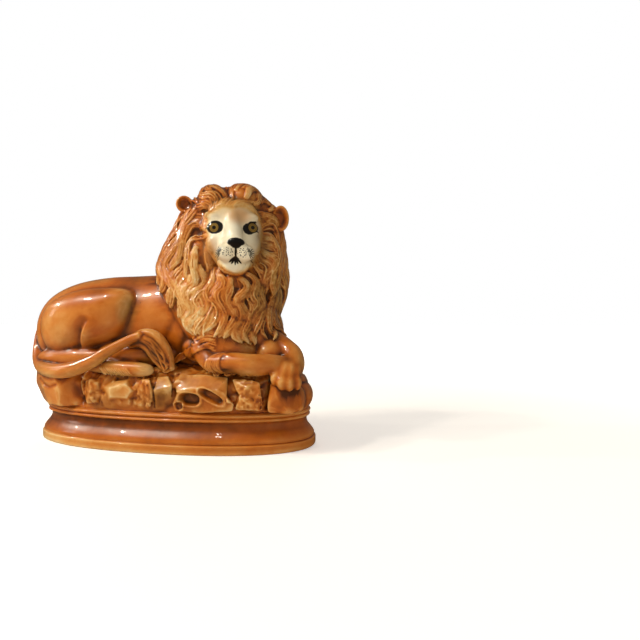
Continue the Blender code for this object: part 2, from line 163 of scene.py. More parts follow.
# Smooth stone under the rump and under the hanging paw
RUMP_ROCK = ((-155, -4, 68), (-154, -8, 60), (-149, -8, 50), (-143, -2, 37), (-147, -22, 70), (-142, -28, 56),
             (-132, -28, 38), (-128, -40, 70), (-118, -46, 56), (-110, -46, 37), (-100, -51, 68),
             (-94, -54, 54), (-92, -53, 37), (-76, -44, 56), (-74, -46, 38), (-76, -40, 70), (-150, 14, 66),
             (-142, 16, 40), (-80, 0, 70), (-80, 0, 40))
PAW_ROCK = ((127.5, -46, 62), (121.5, -50, 54.5), (115, -51, 47.5), (114.5, -50, 39.5), (134.5, -47, 38),
            (143.5, -36, 39.5), (142.5, -22, 47.5), (141.5, -24, 57), (139, -38, 66), (133, -44, 64),
            (122, -20, 66), (135.5, 0, 43.5), (127.5, 0, 35), (112.5, -30, 36), (138, -10, 38),
            (113, -42, 62), (118, -46, 66))
# Eggs of smooth stone behind them: middle x, y, z and half-sizes
OUTCROPS = ((-134, -6, 64, 21, 18, 16), (-106, -22, 66, 30, 22, 12), (131, -4, 48, 13.5, 24, 15),
            (126, 9, 46, 13, 18, 13))
BACK_ROWS = ((mm(15), mm(45), 24), (mm(19), mm(61), 20))
# Hollows: middle x, z, half-sizes, tilt and depth
HOLLOWS = ((43.5, 49.5, 10.5, 6.0, -3, 5.5), (64.5, 52.5, 13, 4.6, -27, 4.5), (32.5, 43, 4.5, 4.0, 20, 3.0),
           (82, 50, 3.4, 3.0, 0, -1.6))
# Clefts between the blocks: points x, z, then depth and half-width
CLEFTS = (
    (((-78, 69), (-77, 59), (-75, 50), (-72, 43)), 6.0, 4.2), (((113, 60), (112, 52), (109, 41)), 4.0, 2.0),
    (((8, 67), (9.5, 56), (8, 41)), 2.0, 0.9), (((-124, 62), (-110, 56), (-98, 58)), 1.4, 1.8))
# Where the stone is broken rather than worn: middle x and half-width
BROKEN = ((-56, 12), (-3, 11), (97, 13))
# Size and depth of the facets of the bed between the blocks, and of the small chips
FACETS, CHIPS = mm(12, 3.0), mm(3.8, 0.7)


def globe():
    """A unit globe's points and faces."""
    shape = bmesh.new()
    bmesh.ops.create_icosphere(shape, subdivisions=4, radius=1.0)
    points = np.array([vertex.co[:] for vertex in shape.verts])
    faces = np.array([[vertex.index for vertex in face.verts] for face in shape.faces])
    shape.free()
    return points, faces


GLOBE_POINTS, GLOBE_FACES = globe()


def turned(points, axis, degrees):
    """Points turned about one axis through the origin."""
    one, two = [index for index in range(3) if index != axis]
    sign = -1.0 if axis == 1 else 1.0
    angle = np.radians(degrees) * sign
    result = np.array(points, dtype=float)
    result[:, one] = points[:, one] * np.cos(angle) - points[:, two] * np.sin(angle)
    result[:, two] = points[:, one] * np.sin(angle) + points[:, two] * np.cos(angle)
    return result


def blob(clay, centre, radii, tilt=0.0, spin=0.0):
    """An egg form: half-sizes in millimetres, tilted about Y and then spun about Z."""
    shape = turned(turned(GLOBE_POINTS * mm(*radii), 1, tilt), 2, spin)
    clay.add(shape + centre, (GLOBE_FACES,))


def sweep(clay, points, widths, heights, sides, normals=None):
    """A tube along points: half-width across and half-height along the given normals."""
    steps = np.gradient(points, axis=0)
    steps /= np.linalg.norm(steps, axis=1)[:, None] + 1e-12
    angles = np.linspace(0.0, 2 * np.pi, sides, endpoint=False)
    across = None
    rings = []
    for index, step in enumerate(steps):
        if normals is not None:
            across = np.cross(step, normals[index])
        elif across is None:
            across = np.cross(step, (0.0, 0.0, 1.0) if abs(step[2]) < 0.9 else (0.0, 1.0, 0.0))
        across = across - step * (across @ step)
        across /= np.linalg.norm(across) + 1e-12
        rise = np.cross(across, step)
        rings.append(points[index]
                     + np.cos(angles)[:, None] * across * widths[index]
                     + np.sin(angles)[:, None] * rise * heights[index])
    first = points[0] - steps[0] * widths[0] * 0.7 + (rings[0] - points[0]) * 0.5
    last = points[-1] + steps[-1] * widths[-1] * 0.7 + (rings[-1] - points[-1]) * 0.5
    clay.skin([first] + rings + [last])


def limb(clay, rows, sides=18, count=34):
    """A round limb through rows of x, y, z and radius in millimetres."""
    path = curve_through(np.array(rows, dtype=float) * 0.001, count)
    sweep(clay, path[:, :3], path[:, 3], path[:, 3], sides)


def fused(clay, voxel, rounds, strength=0.5):
    """The overlapping forms melted into one skin, softened by some rounds of smoothing."""
    made = clay.item("clay")
    melt = made.modifiers.new("Melt", "REMESH")
    melt.mode = "VOXEL"
    melt.voxel_size = voxel
    soften = made.modifiers.new("Soften", "SMOOTH")
    soften.factor = strength
    soften.iterations = rounds
    view = bpy.context.evaluated_depsgraph_get()
    view.update()
    mesh = bpy.data.meshes.new_from_object(made.evaluated_get(view), depsgraph=view)
    bpy.data.objects.remove(made)
    return mesh


def read(items, name, width, kind=float):
    """A mesh collection's property as an array."""
    values = np.empty(len(items) * width, dtype=kind)
    items.foreach_get(name, values)
    return values.reshape(-1, width)


def fade(low, high, value):
    """A smooth rise from 0 at low to 1 at high."""
    part = np.clip((value - low) / (high - low), 0.0, 1.0)
    return part * part * (3.0 - 2.0 * part)


def hull(clay, points):
    """The tight skin round some points."""
    shape = bmesh.new()
    made = [shape.verts.new(point) for point in points]
    skin = bmesh.ops.convex_hull(shape, input=made)
    spare = [part for part in skin["geom_interior"] if isinstance(part, bmesh.types.BMVert)]
    bmesh.ops.delete(shape, geom=spare, context="VERTS")
    shape.verts.index_update()
    corners = [[vertex.index for vertex in face.verts] for face in shape.faces]
    clay.add(np.array([vertex.co[:] for vertex in shape.verts]), (corners,))
    shape.free()


def stone(clay, centre, half_sizes, chance):
    """A stone with broken faces: the hull of a few points scattered on a squared egg."""
    points = chance.normal(size=(20, 3))
    points /= np.linalg.norm(points, axis=1)[:, None]
    hull(clay, centre + np.sign(points) * np.abs(points) ** 0.62 * half_sizes)


def facets(places, size, depth):
    """How far each place stands out, as on stone broken into small tilted faces."""
    rise = np.empty(len(places))
    for index, place in enumerate(places / size):
        middle = noise.voronoi(Vector(place))[1][0]
        lean = noise.cell_vector(middle * 41.0) * 2.0 - Vector((1.0, 1.0, 1.0))
        rise[index] = (Vector(place) - middle).dot(lean) + (lean.x + lean.z) * 0.25
    return rise * depth


def carved_front(x, z):
    """How deep the front of the rocks is cut in at x, z: hollows with raised rims, and clefts."""
    depth = np.zeros(len(x))
    for middle_x, middle_z, half_x, half_z, tilt, deep in HOLLOWS:
        turn = np.radians(-tilt)
        along = ((x - middle_x) * np.cos(turn) - (z - middle_z) * np.sin(turn)) / half_x
        upward = ((x - middle_x) * np.sin(turn) + (z - middle_z) * np.cos(turn)) / half_z
        gap = (np.abs(along) ** 2.6 + np.abs(upward) ** 2.6) ** (1 / 2.6)
        depth += deep * (1.0 - fade(0.66, 1.0, gap)) - 0.8 * (deep > 0) * np.exp(-((gap - 1.08) / 0.10) ** 2)
    for points, deep, half_width in CLEFTS:
        course = curve_through(points, 24)
        gap = np.hypot(x[:, None] - course[:, 0], z[:, None] - course[:, 1]).min(axis=1)
        depth += deep * np.exp(-(gap / half_width) ** 2)
    return depth * 0.001


def rocks(clay):
    """The solid bed in the plinth's outline, the chipped blocks, the outcrops and what is cut in them."""
    rough = Clay()
    levels = mm((9, 30), (8, 38), (6.9, 44), (6.7, 52), (7.4, 60), (10.5, 66), (16, 71), (25, 75), (33, 78))
    bed = Clay()
    bed.skin([oval(inset, height, 96) for inset, height in curve_through(levels, 26)])
    mesh = fused(bed, mm(1.2), 0)
    places = read(mesh.vertices, "co", 3)
    normals = read(mesh.vertices, "normal", 3)
    shown = fade(mm(39), mm(44), places[:, 2]) * (1.0 - fade(0.8, 0.95, np.abs(places[:, 0]) / (PLINTH_LENGTH / 2)))
    places += normals * (facets(places, *FACETS) * shown)[:, None]
    mesh.vertices.foreach_set("co", places.ravel())
    rough.take(mesh)
    for corners in BLOCKS:
        hull(rough, mm(*corners))
    chance = np.random.default_rng(3)
    for inset, height, count in BACK_ROWS:
        for place in oval(inset, height, count):
            if place[1] > mm(-4) and place[0] < mm(118):
                size = mm(17, 13, 13) * chance.uniform(0.75, 1.1, 3)
                rise = chance.uniform(mm(-5), mm(5))
                stone(rough, place + np.array([0.0, 0.0, rise]), size, chance)
    mesh = fused(rough, mm(0.9), 0)
    places = read(mesh.vertices, "co", 3)
    normals = read(mesh.vertices, "normal", 3)
    broken = np.where(places[:, 1] > 0, 0.6, 0.12)
    for middle, half_width in BROKEN:
        broken = np.maximum(broken, 1.0 - fade(0.7, 1.1, np.abs(places[:, 0] * 1000 - middle) / half_width))
    inner = 1.0 - fade(0.93, 1.0, np.abs(places[:, 0]) / (PLINTH_LENGTH / 2))
    broken *= fade(mm(38), mm(43), places[:, 2]) * inner
    places += normals * (facets(places, *CHIPS) * broken)[:, None]
    facing = fade(0.1, 0.5, -normals[:, 1])
    places[:, 1] += carved_front(places[:, 0] * 1000, places[:, 2] * 1000) * facing
    mesh.vertices.foreach_set("co", places.ravel())
    clay.take(mesh)
    smooth = Clay()
    hull(smooth, mm(*PAW_ROCK))
    hull(smooth, mm(*RUMP_ROCK))
    for x, y, z, half_x, half_y, half_z in OUTCROPS:
        blob(smooth, mm(x, y, z), (half_x, half_y, half_z))
    mesh = fused(smooth, mm(1.4), 12)
    places = read(mesh.vertices, "co", 3)
    places[:, 1] += carved_front(places[:, 0] * 1000, places[:, 2] * 1000) * (places[:, 1] < mm(-20))
    mesh.vertices.foreach_set("co", places.ravel())
    clay.take(mesh)


# The body and legs
# The smooth trunk, the thigh standing proud of it with the fold of the buttock, the hind foot
# laid along the rocks, the near forearm tucked under, and the far paw hanging over the stones.
TRUNK = (
    (-157, 4, 107, 7, 10), (-152, 4, 108, 20, 24), (-139, 4, 110, 32, 38.7), (-113, 4, 111, 38, 49),
    (-78, 4, 111, 38, 54.5), (-40, 4, 113, 37, 53.5), (-8, 3, 115, 38, 52.5), (26, 4, 118, 39, 54),
    (60, 4, 118, 38, 50), (86, 4, 112, 36, 44), (102, 2, 104, 28, 30), (109, 0, 100, 12, 14))
# The near thigh's outline on the flank, x and z, and the fold of the buttock from top to bottom
THIGH_OUTLINE = (
    (-29, 131), (-29, 142), (-35, 149), (-49, 152), (-78, 151.5), (-101, 147.5), (-120, 139),
    (-130, 127), (-132.5, 114), (-130, 101), (-122, 89.5), (-109, 84), (-96, 86), (-72, 91),
    (-48, 100), (-34, 115))
THIGH_MIDDLE = (-84, 119)
THIGH_RIM, THIGH_CREST = 29.0, 49.0
BUTTOCK_FOLD = ((-64, 123), (-72, 113.5), (-77.5, 102), (-83, 86))
# Egg forms of the far thigh and under the near one: middle x, y, z, half-sizes, tilt
THIGHS = ((-84, 18, 112, 50, 29, 40, 0), (-88, -28, 82, 50, 18, 14, 0), (-24, -30, 88, 44, 17, 13, 0))
HIND_FOOT = ((-66, -40, 76, 6), (-44, -47, 76, 6.8), (-24, -50, 75, 7), (-6, -51, 74.5, 6.8),
             (2, -51, 74, 5.4))
SHOULDERS = (
    (32, -15, 108, 46, 22.5, 36, 8), (44, -32, 94, 18, 12, 14, 0), (106, -14, 84, 17, 19, 20, 0),
    (129, -31, 70, 11, 11, 11, 0), (118, -10, 92, 12, 12, 10, 35))
NEAR_FOREARM = ((46, -36, 96, 11), (56, -43, 85, 9.5), (66, -47, 81, 8.8), (83, -48.5, 82, 9.6),
                (100, -47.5, 80.5, 10.2), (113, -40, 80.5, 9.6), (123, -31, 80, 8))
FAR_FORELEG = ((96, -4, 104, 13), (110, -9, 98.5, 11), (121, -14, 93, 10), (129, -19, 87.5, 9.8),
               (131.5, -25, 80, 10.6), (130.5, -31, 73, 10.2), (128.5, -36, 67, 8.5))
# Each toe: knuckle x, y, z, then tip x, y, z
TOES = (
    (122.5, -35.5, 80, 120.5, -46, 66), (127, -37, 79, 127, -48, 63), (132, -36, 78, 133.5, -46.5, 62),
    (136.5, -32, 77, 139, -41, 62.5))


def near_thigh(clay):
    """The thigh as a dome with a crisp rim, and a step where the buttock folds behind it."""
    outline = np.array(THIGH_OUTLINE) - THIGH_MIDDLE
    outline = curve_through(np.vstack((outline, outline[:1])), 160)[:-1]
    fold = curve_through(np.array(BUTTOCK_FOLD, dtype=float) - THIGH_MIDDLE, 60)
    course = np.gradient(fold, axis=0)
    rings = []
    for share in np.sin(np.linspace(0.02, 1.0, 56) * np.pi / 2)[::-1]:
        flat = outline * share
        depth = THIGH_RIM + (THIGH_CREST - THIGH_RIM) * (1 - share ** 2.3) ** 0.55
        gaps = np.linalg.norm(flat[:, None] - fold[None], axis=2)
        near = gaps.argmin(axis=1)
        away = flat - fold[near]
        side = np.sign(away[:, 0] * course[near, 1] - away[:, 1] * course[near, 0])
        gap = gaps.min(axis=1) * side
        strength = np.clip(near / 26.0, 0.0, 1.0)
        dip = np.where(gap > 0, np.exp(-(gap / 7.5) ** 2), np.exp(-(gap / 1.2) ** 2))
        swell = np.exp(-((gap + 6.0) / 7.0) ** 2) * (gap < 0)
        level = depth - strength * (4.2 * dip - 1.6 * swell) * (share < 0.995)
        rings.append(np.column_stack((flat[:, 0] + THIGH_MIDDLE[0], -level,
                                      flat[:, 1] + THIGH_MIDDLE[1])) * 0.001)
    root = rings[0].copy()
    root[:, 1] = mm(-10)
    clay.skin([root] + rings)


def body(clay):
    """The trunk with its thighs, shoulder and legs."""
    near_thigh(clay)
    angles = np.linspace(0.0, 2 * np.pi, 64, endpoint=False)
    clay.skin([np.column_stack((np.full(64, x), y + np.cos(angles) * half_depth,
                                z + np.sin(angles) * half_height))
               for x, y, z, half_depth, half_height in curve_through(mm(*TRUNK), 80)])
    for x, y, z, half_x, half_y, half_z, tilt in THIGHS + SHOULDERS:
        blob(clay, mm(x, y, z), (half_x, half_y, half_z), tilt)
    for rows in (HIND_FOOT, NEAR_FOREARM, FAR_FORELEG):
        limb(clay, rows)
    for x, y, z, tip_x, tip_y, tip_z in TOES:
        limb(clay, ((x, y + 5, z + 3, 3.5), (x, y, z, 4.6), ((x + tip_x) / 2, (y + tip_y) / 2 - 2, (z + tip_z) / 2, 4.2),
                    (tip_x, tip_y, tip_z + 3, 4.7), (tip_x, tip_y + 1.5, tip_z - 2, 3.4)), count=24)


# The tail
# A band that leaves the rump, wraps under the thigh with a ridge along its upper edge, and rises
# over the flank to a tuft of loose wavy strands that falls down the side.
TAIL = (
    (-130, 2, 138, 4), (-148, -2, 125, 5.5), (-152.5, -9, 108, 5.5), (-150, -15, 92, 6),
    (-140.5, -25, 80, 6.5), (-122, -39, 73, 7), (-100, -49, 71, 7.2), (-78, -53.5, 73.5, 7.2),
    (-56, -55, 81, 6.2), (-38, -54, 91.5, 5.2), (-20, -51.5, 101, 4.6), (-8, -50, 106, 4.4))
# The tuft's upper and lower strands: points x and z
TUFT_UPPER = ((-22, 102), (-8, 108.5), (6, 106.5), (15, 97), (20, 87), (22.5, 76))
TUFT_LOWER = ((-22, 97), (-10, 98), (-2, 93.5), (3, 87), (9, 80.5), (15.5, 73.5))
TUFT_STRANDS = 22


def laid(clay, rows, lift, proud):
    """A fine strand of x, z and radius rows, lying on the body's near side or as far out as proud."""
    points = []
    for x, z, radius in curve_through(rows, 36) * 0.001:
        struck = base_surface.ray_cast(Vector((x, -0.2, z)), Vector((0, 1, 0)))[0]
        face_y = min(struck.y - lift * 0.001, proud * 0.001) if struck else proud * 0.001
        points.append((x * 1000, face_y * 1000, z * 1000, radius * 1000))
    limb(clay, points, sides=7, count=40)


def tail(clay):
    """The tail, its upper ridge and its tuft."""
    limb(clay, TAIL, count=90)
    ridge = [(x, y - radius * 0.55, z + radius * 0.35, 2.2) for x, y, z, radius in TAIL[4:10]]
    limb(clay, ridge, sides=10, count=60)
    upper, lower = np.array(TUFT_UPPER, dtype=float), np.array(TUFT_LOWER, dtype=float)
    for share in (0.08, 0.3, 0.5, 0.7, 0.9):
        middle = upper * share + lower * (1 - share)
        limb(clay, [(x, -46.5, z, radius) for (x, z), radius in zip(middle, (3, 4.6, 5.2, 5, 4.4, 3))], sides=12)
    for index in range(TUFT_STRANDS):
        share = index / (TUFT_STRANDS - 1)
        reach = (30, 26, 28)[index % 3]
        course = curve_through(upper * share + lower * (1 - share), 30)[:reach]
        along = np.linspace(0.0, 1.0, reach)
        wave = np.sin(along * 10.0 + index * 0.9) * 1.3 * along
        course += np.column_stack((wave, wave * 0.5))
        bulge = 3.0 * np.sin(np.pi * np.clip(share, 0.08, 0.92)) + 0.5 * (index % 2)
        laid(clay, np.column_stack((course, 1.05 - 0.6 * along ** 2)), bulge, -48.5 - bulge)


# The head
# The face looks over the lion's side: a broad brow, deep-set eyes, a wide flat nose, full whisker
# pads and a small chin, with a cupped ear on each side of the crown.
EYE_LEVEL = mm(78, -40, 205)
FACE_TURN = 22.0
FACE_RIGHT = np.array([np.cos(np.radians(FACE_TURN)), np.sin(np.radians(FACE_TURN)), 0.0])
FACE_FRONT = np.array([np.sin(np.radians(FACE_TURN)), -np.cos(np.radians(FACE_TURN)), 0.0])
UPWARD = np.array([0.0, 0.0, 1.0])
# The mane's mass: up, left and right edges, front and back, from the eyes' middle
MANE_LEVELS = (
    (43, -23, 20, -24, -58), (34, -36, 35.5, -17, -68), (20, -48, 46, -15, -80),
    (2, -57.5, 50, -15, -88), (-18, -67.5, 53, -16, -94), (-42, -74, 56, -17, -98),
    (-62, -70, 51.5, -9, -98), (-84, -58, 44, -1, -94), (-104, -46, 41, 4, -86),
    (-118, -36, 34, 5, -74), (-127, -22, 22, 0, -60))
MANE_LOBES = ((-16, 27.5, -36, 18, 28, 18), (10, 29.5, -36, 20, 28, 18), (2, -68, -17, 27, 16, 42),
              (-28, -34, -24, 15, 12, 32), (31, -32, -24, 14, 12, 32))
# Egg forms of the face: right, up and front of the eyes' middle, half-sizes, tilt in its plane
FACE_FORMS = (
    (0, -2, -26, 29, 30, 34, 0), (1, -16, -13, 21, 21, 22, 0), (0, 14, -14, 22, 16, 14, 0),
    (-14, 8.5, -6.0, 10, 6.5, 5, 14), (15, 8.5, -6.0, 10, 6.5, 5, -14), (1.5, -20, 3, 13, 14, 12, 0),
    (-14, -14, -9.5, 9.5, 12, 11, 0), (17, -14, -9.5, 9.5, 12, 11, 0),
    (-5.6, -25.2, 10.5, 9.2, 8.8, 7.6, -8), (11.0, -25.2, 10.5, 9.2, 8.8, 7.6, 8),
    (2, -35.5, 4.0, 9.5, 7.5, 6.0, 0), (2, -31, -3, 15, 12, 12, 0), (3.2, -16.6, 14.5, 8.2, 5.6, 5.6, 0),
    (-15.5, -0.8, -8.0, 8.5, 7.5, 7, 0), (16.5, -0.8, -8.0, 8.5, 7.5, 7, 0))
NOSE_BRIDGE = ((0, 12, -6, 9), (0.5, 0, 0, 8.5), (1.8, -9, 7.5, 8), (2.6, -14, 11, 7))


def head(right, up, front):
    """A point given in millimetres from the middle of the eyes, in the face's own directions."""
    side, height, depth = mm(right, up, front)
    return EYE_LEVEL + FACE_RIGHT * side + UPWARD * height + FACE_FRONT * depth


def head_place(points):
    """World points as right, up and front millimetres from the middle of the eyes."""
    away = (np.atleast_2d(points) - EYE_LEVEL) * 1000.0
    return np.column_stack((away @ FACE_RIGHT, away @ UPWARD, away @ FACE_FRONT))


def mane_mass(clay):
    """The mane's full form without its locks: an upright swept oval and two lobes on top."""
    angles = np.linspace(0.0, 2 * np.pi, 72, endpoint=False)
    rings = []
    for up, left, right, front, back in curve_through(MANE_LEVELS, 60)[::-1]:
        centre = head((left + right) / 2, up, (front + back) / 2)
        rings.append(centre + np.cos(angles)[:, None] * FACE_RIGHT * mm((right - left) / 2)
                     - np.sin(angles)[:, None] * FACE_FRONT * mm((front - back) / 2))
    clay.skin(rings)
    for right, up, front, half_side, half_deep, half_tall in MANE_LOBES:
        blob(clay, head(right, up, front), (half_side, half_deep, half_tall), spin=FACE_TURN)


def face(clay):
    """The face, from brow to chin."""
    for right, up, front, half_side, half_deep, half_tall, tilt in FACE_FORMS:
        blob(clay, head(right, up, front), (half_side, half_deep, half_tall), tilt, FACE_TURN)
    limb(clay, [np.append(head(right, up, front) * 1000, radius)
                for right, up, front, radius in NOSE_BRIDGE])


# An ear's section from the middle of its back, over the rim, to the bottom of its cup: share of the
# ear's half-size and millimetres forward
EAR_SECTION = ((0.15, -6.5), (0.6, -5.5), (0.92, -2.6), (1.0, 0.2), (0.95, 1.6), (0.84, 2.0), (0.72, 1.4),
               (0.5, -0.5), (0.15, -0.8))


def ear(clay, right, up, front, half_side, half_tall, lean):
    """A cupped ear, its cup turned a little to one side."""
    angles = np.linspace(0.0, 2 * np.pi, 40, endpoint=False)
    rings = []
    for share, forward in curve_through(EAR_SECTION, 26):
        rings.append([head(right + np.cos(angle) * half_side * share + lean * (1.0 - share),
                           up + np.sin(angle) * half_tall * share, front + forward)
                      for angle in angles])
    clay.skin(rings)


def ears(clay):
    """The left ear, small and high, and the right ear, larger and lower, each on a firm root."""
    ear(clay, -45.5, 27, -34, 8.0, 8.2, 1.5)
    ear(clay, 47.5, 17, -34, 8.4, 13, -2.4)
    blob(clay, head(-39, 21, -42), (11, 9, 12), spin=FACE_TURN)
    blob(clay, head(40, 12, -42), (10, 9, 15), spin=FACE_TURN)


def surface_of(mesh):
    """A search tree over a mesh's faces."""
    shape = bmesh.new()
    shape.from_mesh(mesh)
    tree = BVHTree.FromBMesh(shape)
    shape.free()
    return tree


soft_head = Clay()
mane_mass(soft_head)
mane_surface = surface_of(fused(soft_head, mm(2), 0))
face(soft_head)
firm_body = Clay()
body(firm_body)
base_clay = Clay()
base_clay.take(fused(soft_head, mm(1.1), 9))
base_clay.take(fused(firm_body, mm(1.2), 4))
base = fused(base_clay, mm(1.1), 2)
base_surface = surface_of(base)


# The mane
# Several hundred modelled locks in fine strands. They spring from the edge of the face, sweep out
# and fall in long waves; neighbours part and close like leaves, and finer wisps lie over them.
LOCK_SPACING = mm(7.2)
LOCK_LENGTHS = mm(30, 54)
LOCK_WIDTHS = mm(5.5, 10.5)
WAVE_LENGTH = 31.0
STRAND_RADIUS = mm(0.9)
WISPS = 90
# The edge of the bare face, right and up from the eyes' middle
FACE_EDGE = (
    (28.5, -1), (27.5, 7.5), (23.5, 13), (16, 18.5), (8, 20), (0, 18), (-8, 19), (-16, 16), (-21.5, 11.5),
    (-24, 5), (-24, -1), (-22, -10.5), (-20, -17.5), (-17, -25.5), (-13.5, -31), (-8, -35.5), (-3, -39.5),
    (2, -41.5), (8, -40.5), (14, -36), (21, -29.5), (25, -20), (27.5, -10.5))
FACE_MIDDLE = (1.0, -9.0)
# The mane's lower edge over the shoulder and forearm: x and z
MANE_EDGE = ((-14, 188), (-9, 179), (-7, 166), (-3, 150), (8, 139), (18, 129), (26, 120), (35, 112), (44, 106),
             (57, 106), (68, 103.5), (80, 101), (92, 97), (102, 96), (112, 99), (124, 104), (140, 112))


def hair_direction(place):
    """Which way the mane lies at a point: out from the face, then down."""
    side, up, front = head_place(place)[0]
    crown = fade(14.0, 28.0, up) * fade(-66.0, -46.0, front)
    outward = np.array([side + 4.0 + 2.0 * crown, up + 4.0])
    outward[0] *= 1.0 + 1.1 * crown
    reach = np.linalg.norm(outward)
    outward /= reach + 1e-9
    falling = 0.10 + 0.90 * fade(25.0, 64.0, reach)
    falling *= 1.0 - 0.9 * crown
    falling = max(falling, float(fade(-44.0, -70.0, front)))
    flow = FACE_RIGHT * outward[0] + UPWARD * outward[1]
    return flow * (1.1 - falling) - UPWARD * falling - FACE_FRONT * 0.35 * crown


def past_edge(spot):
    """Whether a point lies below the mane's lower edge on the near side, or behind it on the back."""
    x, y, z = spot * 1000
    return z < np.interp(x, *np.transpose(MANE_EDGE)) if y < 0 else x < -4


def lock_path(start, length, swing, shift, count):
    """The middle line and normals of one wavy lock laid on the form, ending at the mane's edge."""
    place = Vector(start)
    points, normals = [], []
    for index in range(count):
        place, normal = base_surface.find_nearest(place)[:2]
        normal = np.array(normal)
        spot = np.array(place)
        if past_edge(spot):
            break
        points.append(spot)
        normals.append(normal)
        flow = hair_direction(spot)
        flow = flow - normal * (flow @ normal)
        flow /= np.linalg.norm(flow) + 1e-9
        drift = 2.6 * noise.noise(Vector(spot / mm(24)))
        side, up, _ = head_place(spot)[0]
        course = np.hypot(side + 4.0, up + 4.0) / WAVE_LENGTH
        angle = swing * np.sin(shift + drift + 2 * np.pi * course)
        sideways = np.cross(normal, flow)
        step = flow * np.cos(angle) + sideways * np.sin(angle)
        place = Vector(spot + step * length / (count - 1))
    return np.array(points), np.array(normals)


def lock(clay, traces, start, length, width, swing, shift, tone, lift=0.0):
    """One flat lock with fine strands that part from its root and meet again at its tip."""
    points, normals = lock_path(start, length, swing, shift, 20)
    count = len(points)
    if count < 7:
        return
    steps = np.gradient(points, axis=0)
    steps /= np.linalg.norm(steps, axis=1)[:, None] + 1e-12
    across = np.cross(normals, steps)
    along = np.linspace(0.0, 1.0, count)
    swell = np.sin(np.pi * (0.12 + along * 0.88)) ** 0.8
    reach = width * 0.5 * swell
    crown = (lift + mm(0.7)) * np.minimum(1.0, along * 6 + 0.3) + reach * 0.15
    sweep(clay, points + normals * (crown - reach * 0.42 - mm(0.3))[:, None], reach * 0.92 + mm(0.2),
          reach * 0.40 + mm(0.15), 8, normals)
    strands = max(2, int(round(width / mm(2.3))))
    for side in np.linspace(-0.72, 0.72, strands):
        rise = crown + reach * (0.10 - 0.34 * side ** 2)
        middle = points + across * (reach * side)[:, None] + normals * rise[:, None]
        thick = STRAND_RADIUS * (0.3 + 0.7 * swell)
        sweep(clay, middle, thick, thick * 1.15, 6, normals)
    traces.extend((spot, tone, direction, place) for spot, direction, place
                  in zip(points[::2], across[::2], along[::2]))


def wisp(clay, start, length, swing, shift):
    """One fine strand that strays over the locks."""
    points, normals = lock_path(start, length, swing, shift, 16)
    if len(points) < 7:
        return
    along = np.linspace(0.0, 1.0, len(points))
    rise = mm(2.2) + mm(0.7) * np.sin(along * np.pi)
    thick = mm(0.85) * np.sin(np.pi * (0.12 + along * 0.84)) ** 0.6
    sweep(clay, points + normals * rise[:, None], thick, thick, 6, normals)


def face_share(side, up):
    """How far out a place lies from the face's middle: 1 on the edge of the bare face."""
    edge = curve_through(np.vstack((FACE_EDGE, FACE_EDGE[:1])), 200)[:-1] - FACE_MIDDLE
    angles = np.arctan2(edge[:, 1], edge[:, 0])
    order = np.argsort(angles)
    radii = np.hypot(edge[:, 0], edge[:, 1])
    right, upward = side - FACE_MIDDLE[0], up - FACE_MIDDLE[1]
    limit = np.interp(np.arctan2(upward, right), angles[order], radii[order], period=2 * np.pi)
    return np.hypot(right, upward) / limit


def in_mane(places):
    """Which points of the base form carry hair, and are not on the face."""
    side, up, front = head_place(places).T
    on_face = (face_share(side, up) < 1.04) & (front > -34.0)
    near_edge = np.array([past_edge(place) for place in places])
    return ~on_face & ~near_edge & (up > -119.0) & (up < 50.0)


def spread(places, spacing, seed):
    """Some of the places, at least spacing apart."""
    kept = np.empty((0, 3))
    for place in places[np.random.default_rng(seed).permutation(len(places))]:
        if not len(kept) or np.min(np.sum((kept - place) ** 2, axis=1)) > spacing ** 2:
            kept = np.vstack((kept, place))
    return kept


def mane(clay, traces):
    """Every lock of the mane, the fringe round the face and the stray wisps."""
    places = read(base.vertices, "co", 3)[::4]
    places = places[in_mane(places)]
    near = [mane_surface.find_nearest(Vector(place))[3] < mm(2.4) for place in places]
    places = places[np.array(near)]
    chance = np.random.default_rng(8)
    for root in spread(places, LOCK_SPACING, 7):
        shift = chance.uniform(-0.8, 0.8)
        crown = float(fade(20.0, 32.0, head_place(root)[0][1]))
        lock(clay, traces, root, chance.uniform(*LOCK_LENGTHS), chance.uniform(*LOCK_WIDTHS) * (1 - 0.25 * crown),
             np.radians(chance.uniform(28, 52) * (1 - 0.3 * crown)), shift, chance.uniform(-0.5, 0.5),
             chance.uniform(0.0, mm(1.5)) * (1.0 - crown) - mm(0.5) * crown)
    for index, (right, up) in enumerate(curve_through(np.vstack((FACE_EDGE, FACE_EDGE[:1])), 53)[:-1]):
        start = base_surface.ray_cast(Vector(head(right, up, 60)), Vector(-FACE_FRONT))[0]
        low = float(fade(-4, -14, up))
        if start is not None:
            lock(clay, traces, np.array(start), chance.uniform(mm(24), mm(38)),
                 mm(4.6 + index % 3 * 0.8) * (1 - 0.25 * low), np.radians(chance.uniform(12, 34)),
                 chance.uniform(-0.6, 0.6), chance.uniform(-0.5, 0.2), mm(-0.2 - 0.5 * low))
    for place in places[chance.permutation(len(places))[:WISPS]]:
        if head_place(place)[0][1] < 24.0:
            wisp(clay, place, chance.uniform(mm(22), mm(40)), np.radians(chance.uniform(18, 38)),
                 chance.uniform(-1.2, 1.2))


# The loose hair
# Small tufts that break the smooth forms: a knot of curls behind the elbow, a tuft on the elbow, a
# fringe under the hock, belly hair and a row of nicks where the forearm meets the rocks.
# One curl behind the elbow: points x and z from its root, and radius
CURL = ((2, 0.6, 0.4), (-5, 2.2, 0.8), (-12, 0.8, 0.9), (-18, -1.6, 0.8), (-21.5, -0.8, 0.6), (-20, 0.9, 0.35))
CURLS = 8
ELBOW_TUFT = 13
HOCK_STROKES = 13
BELLY_STROKES = 12


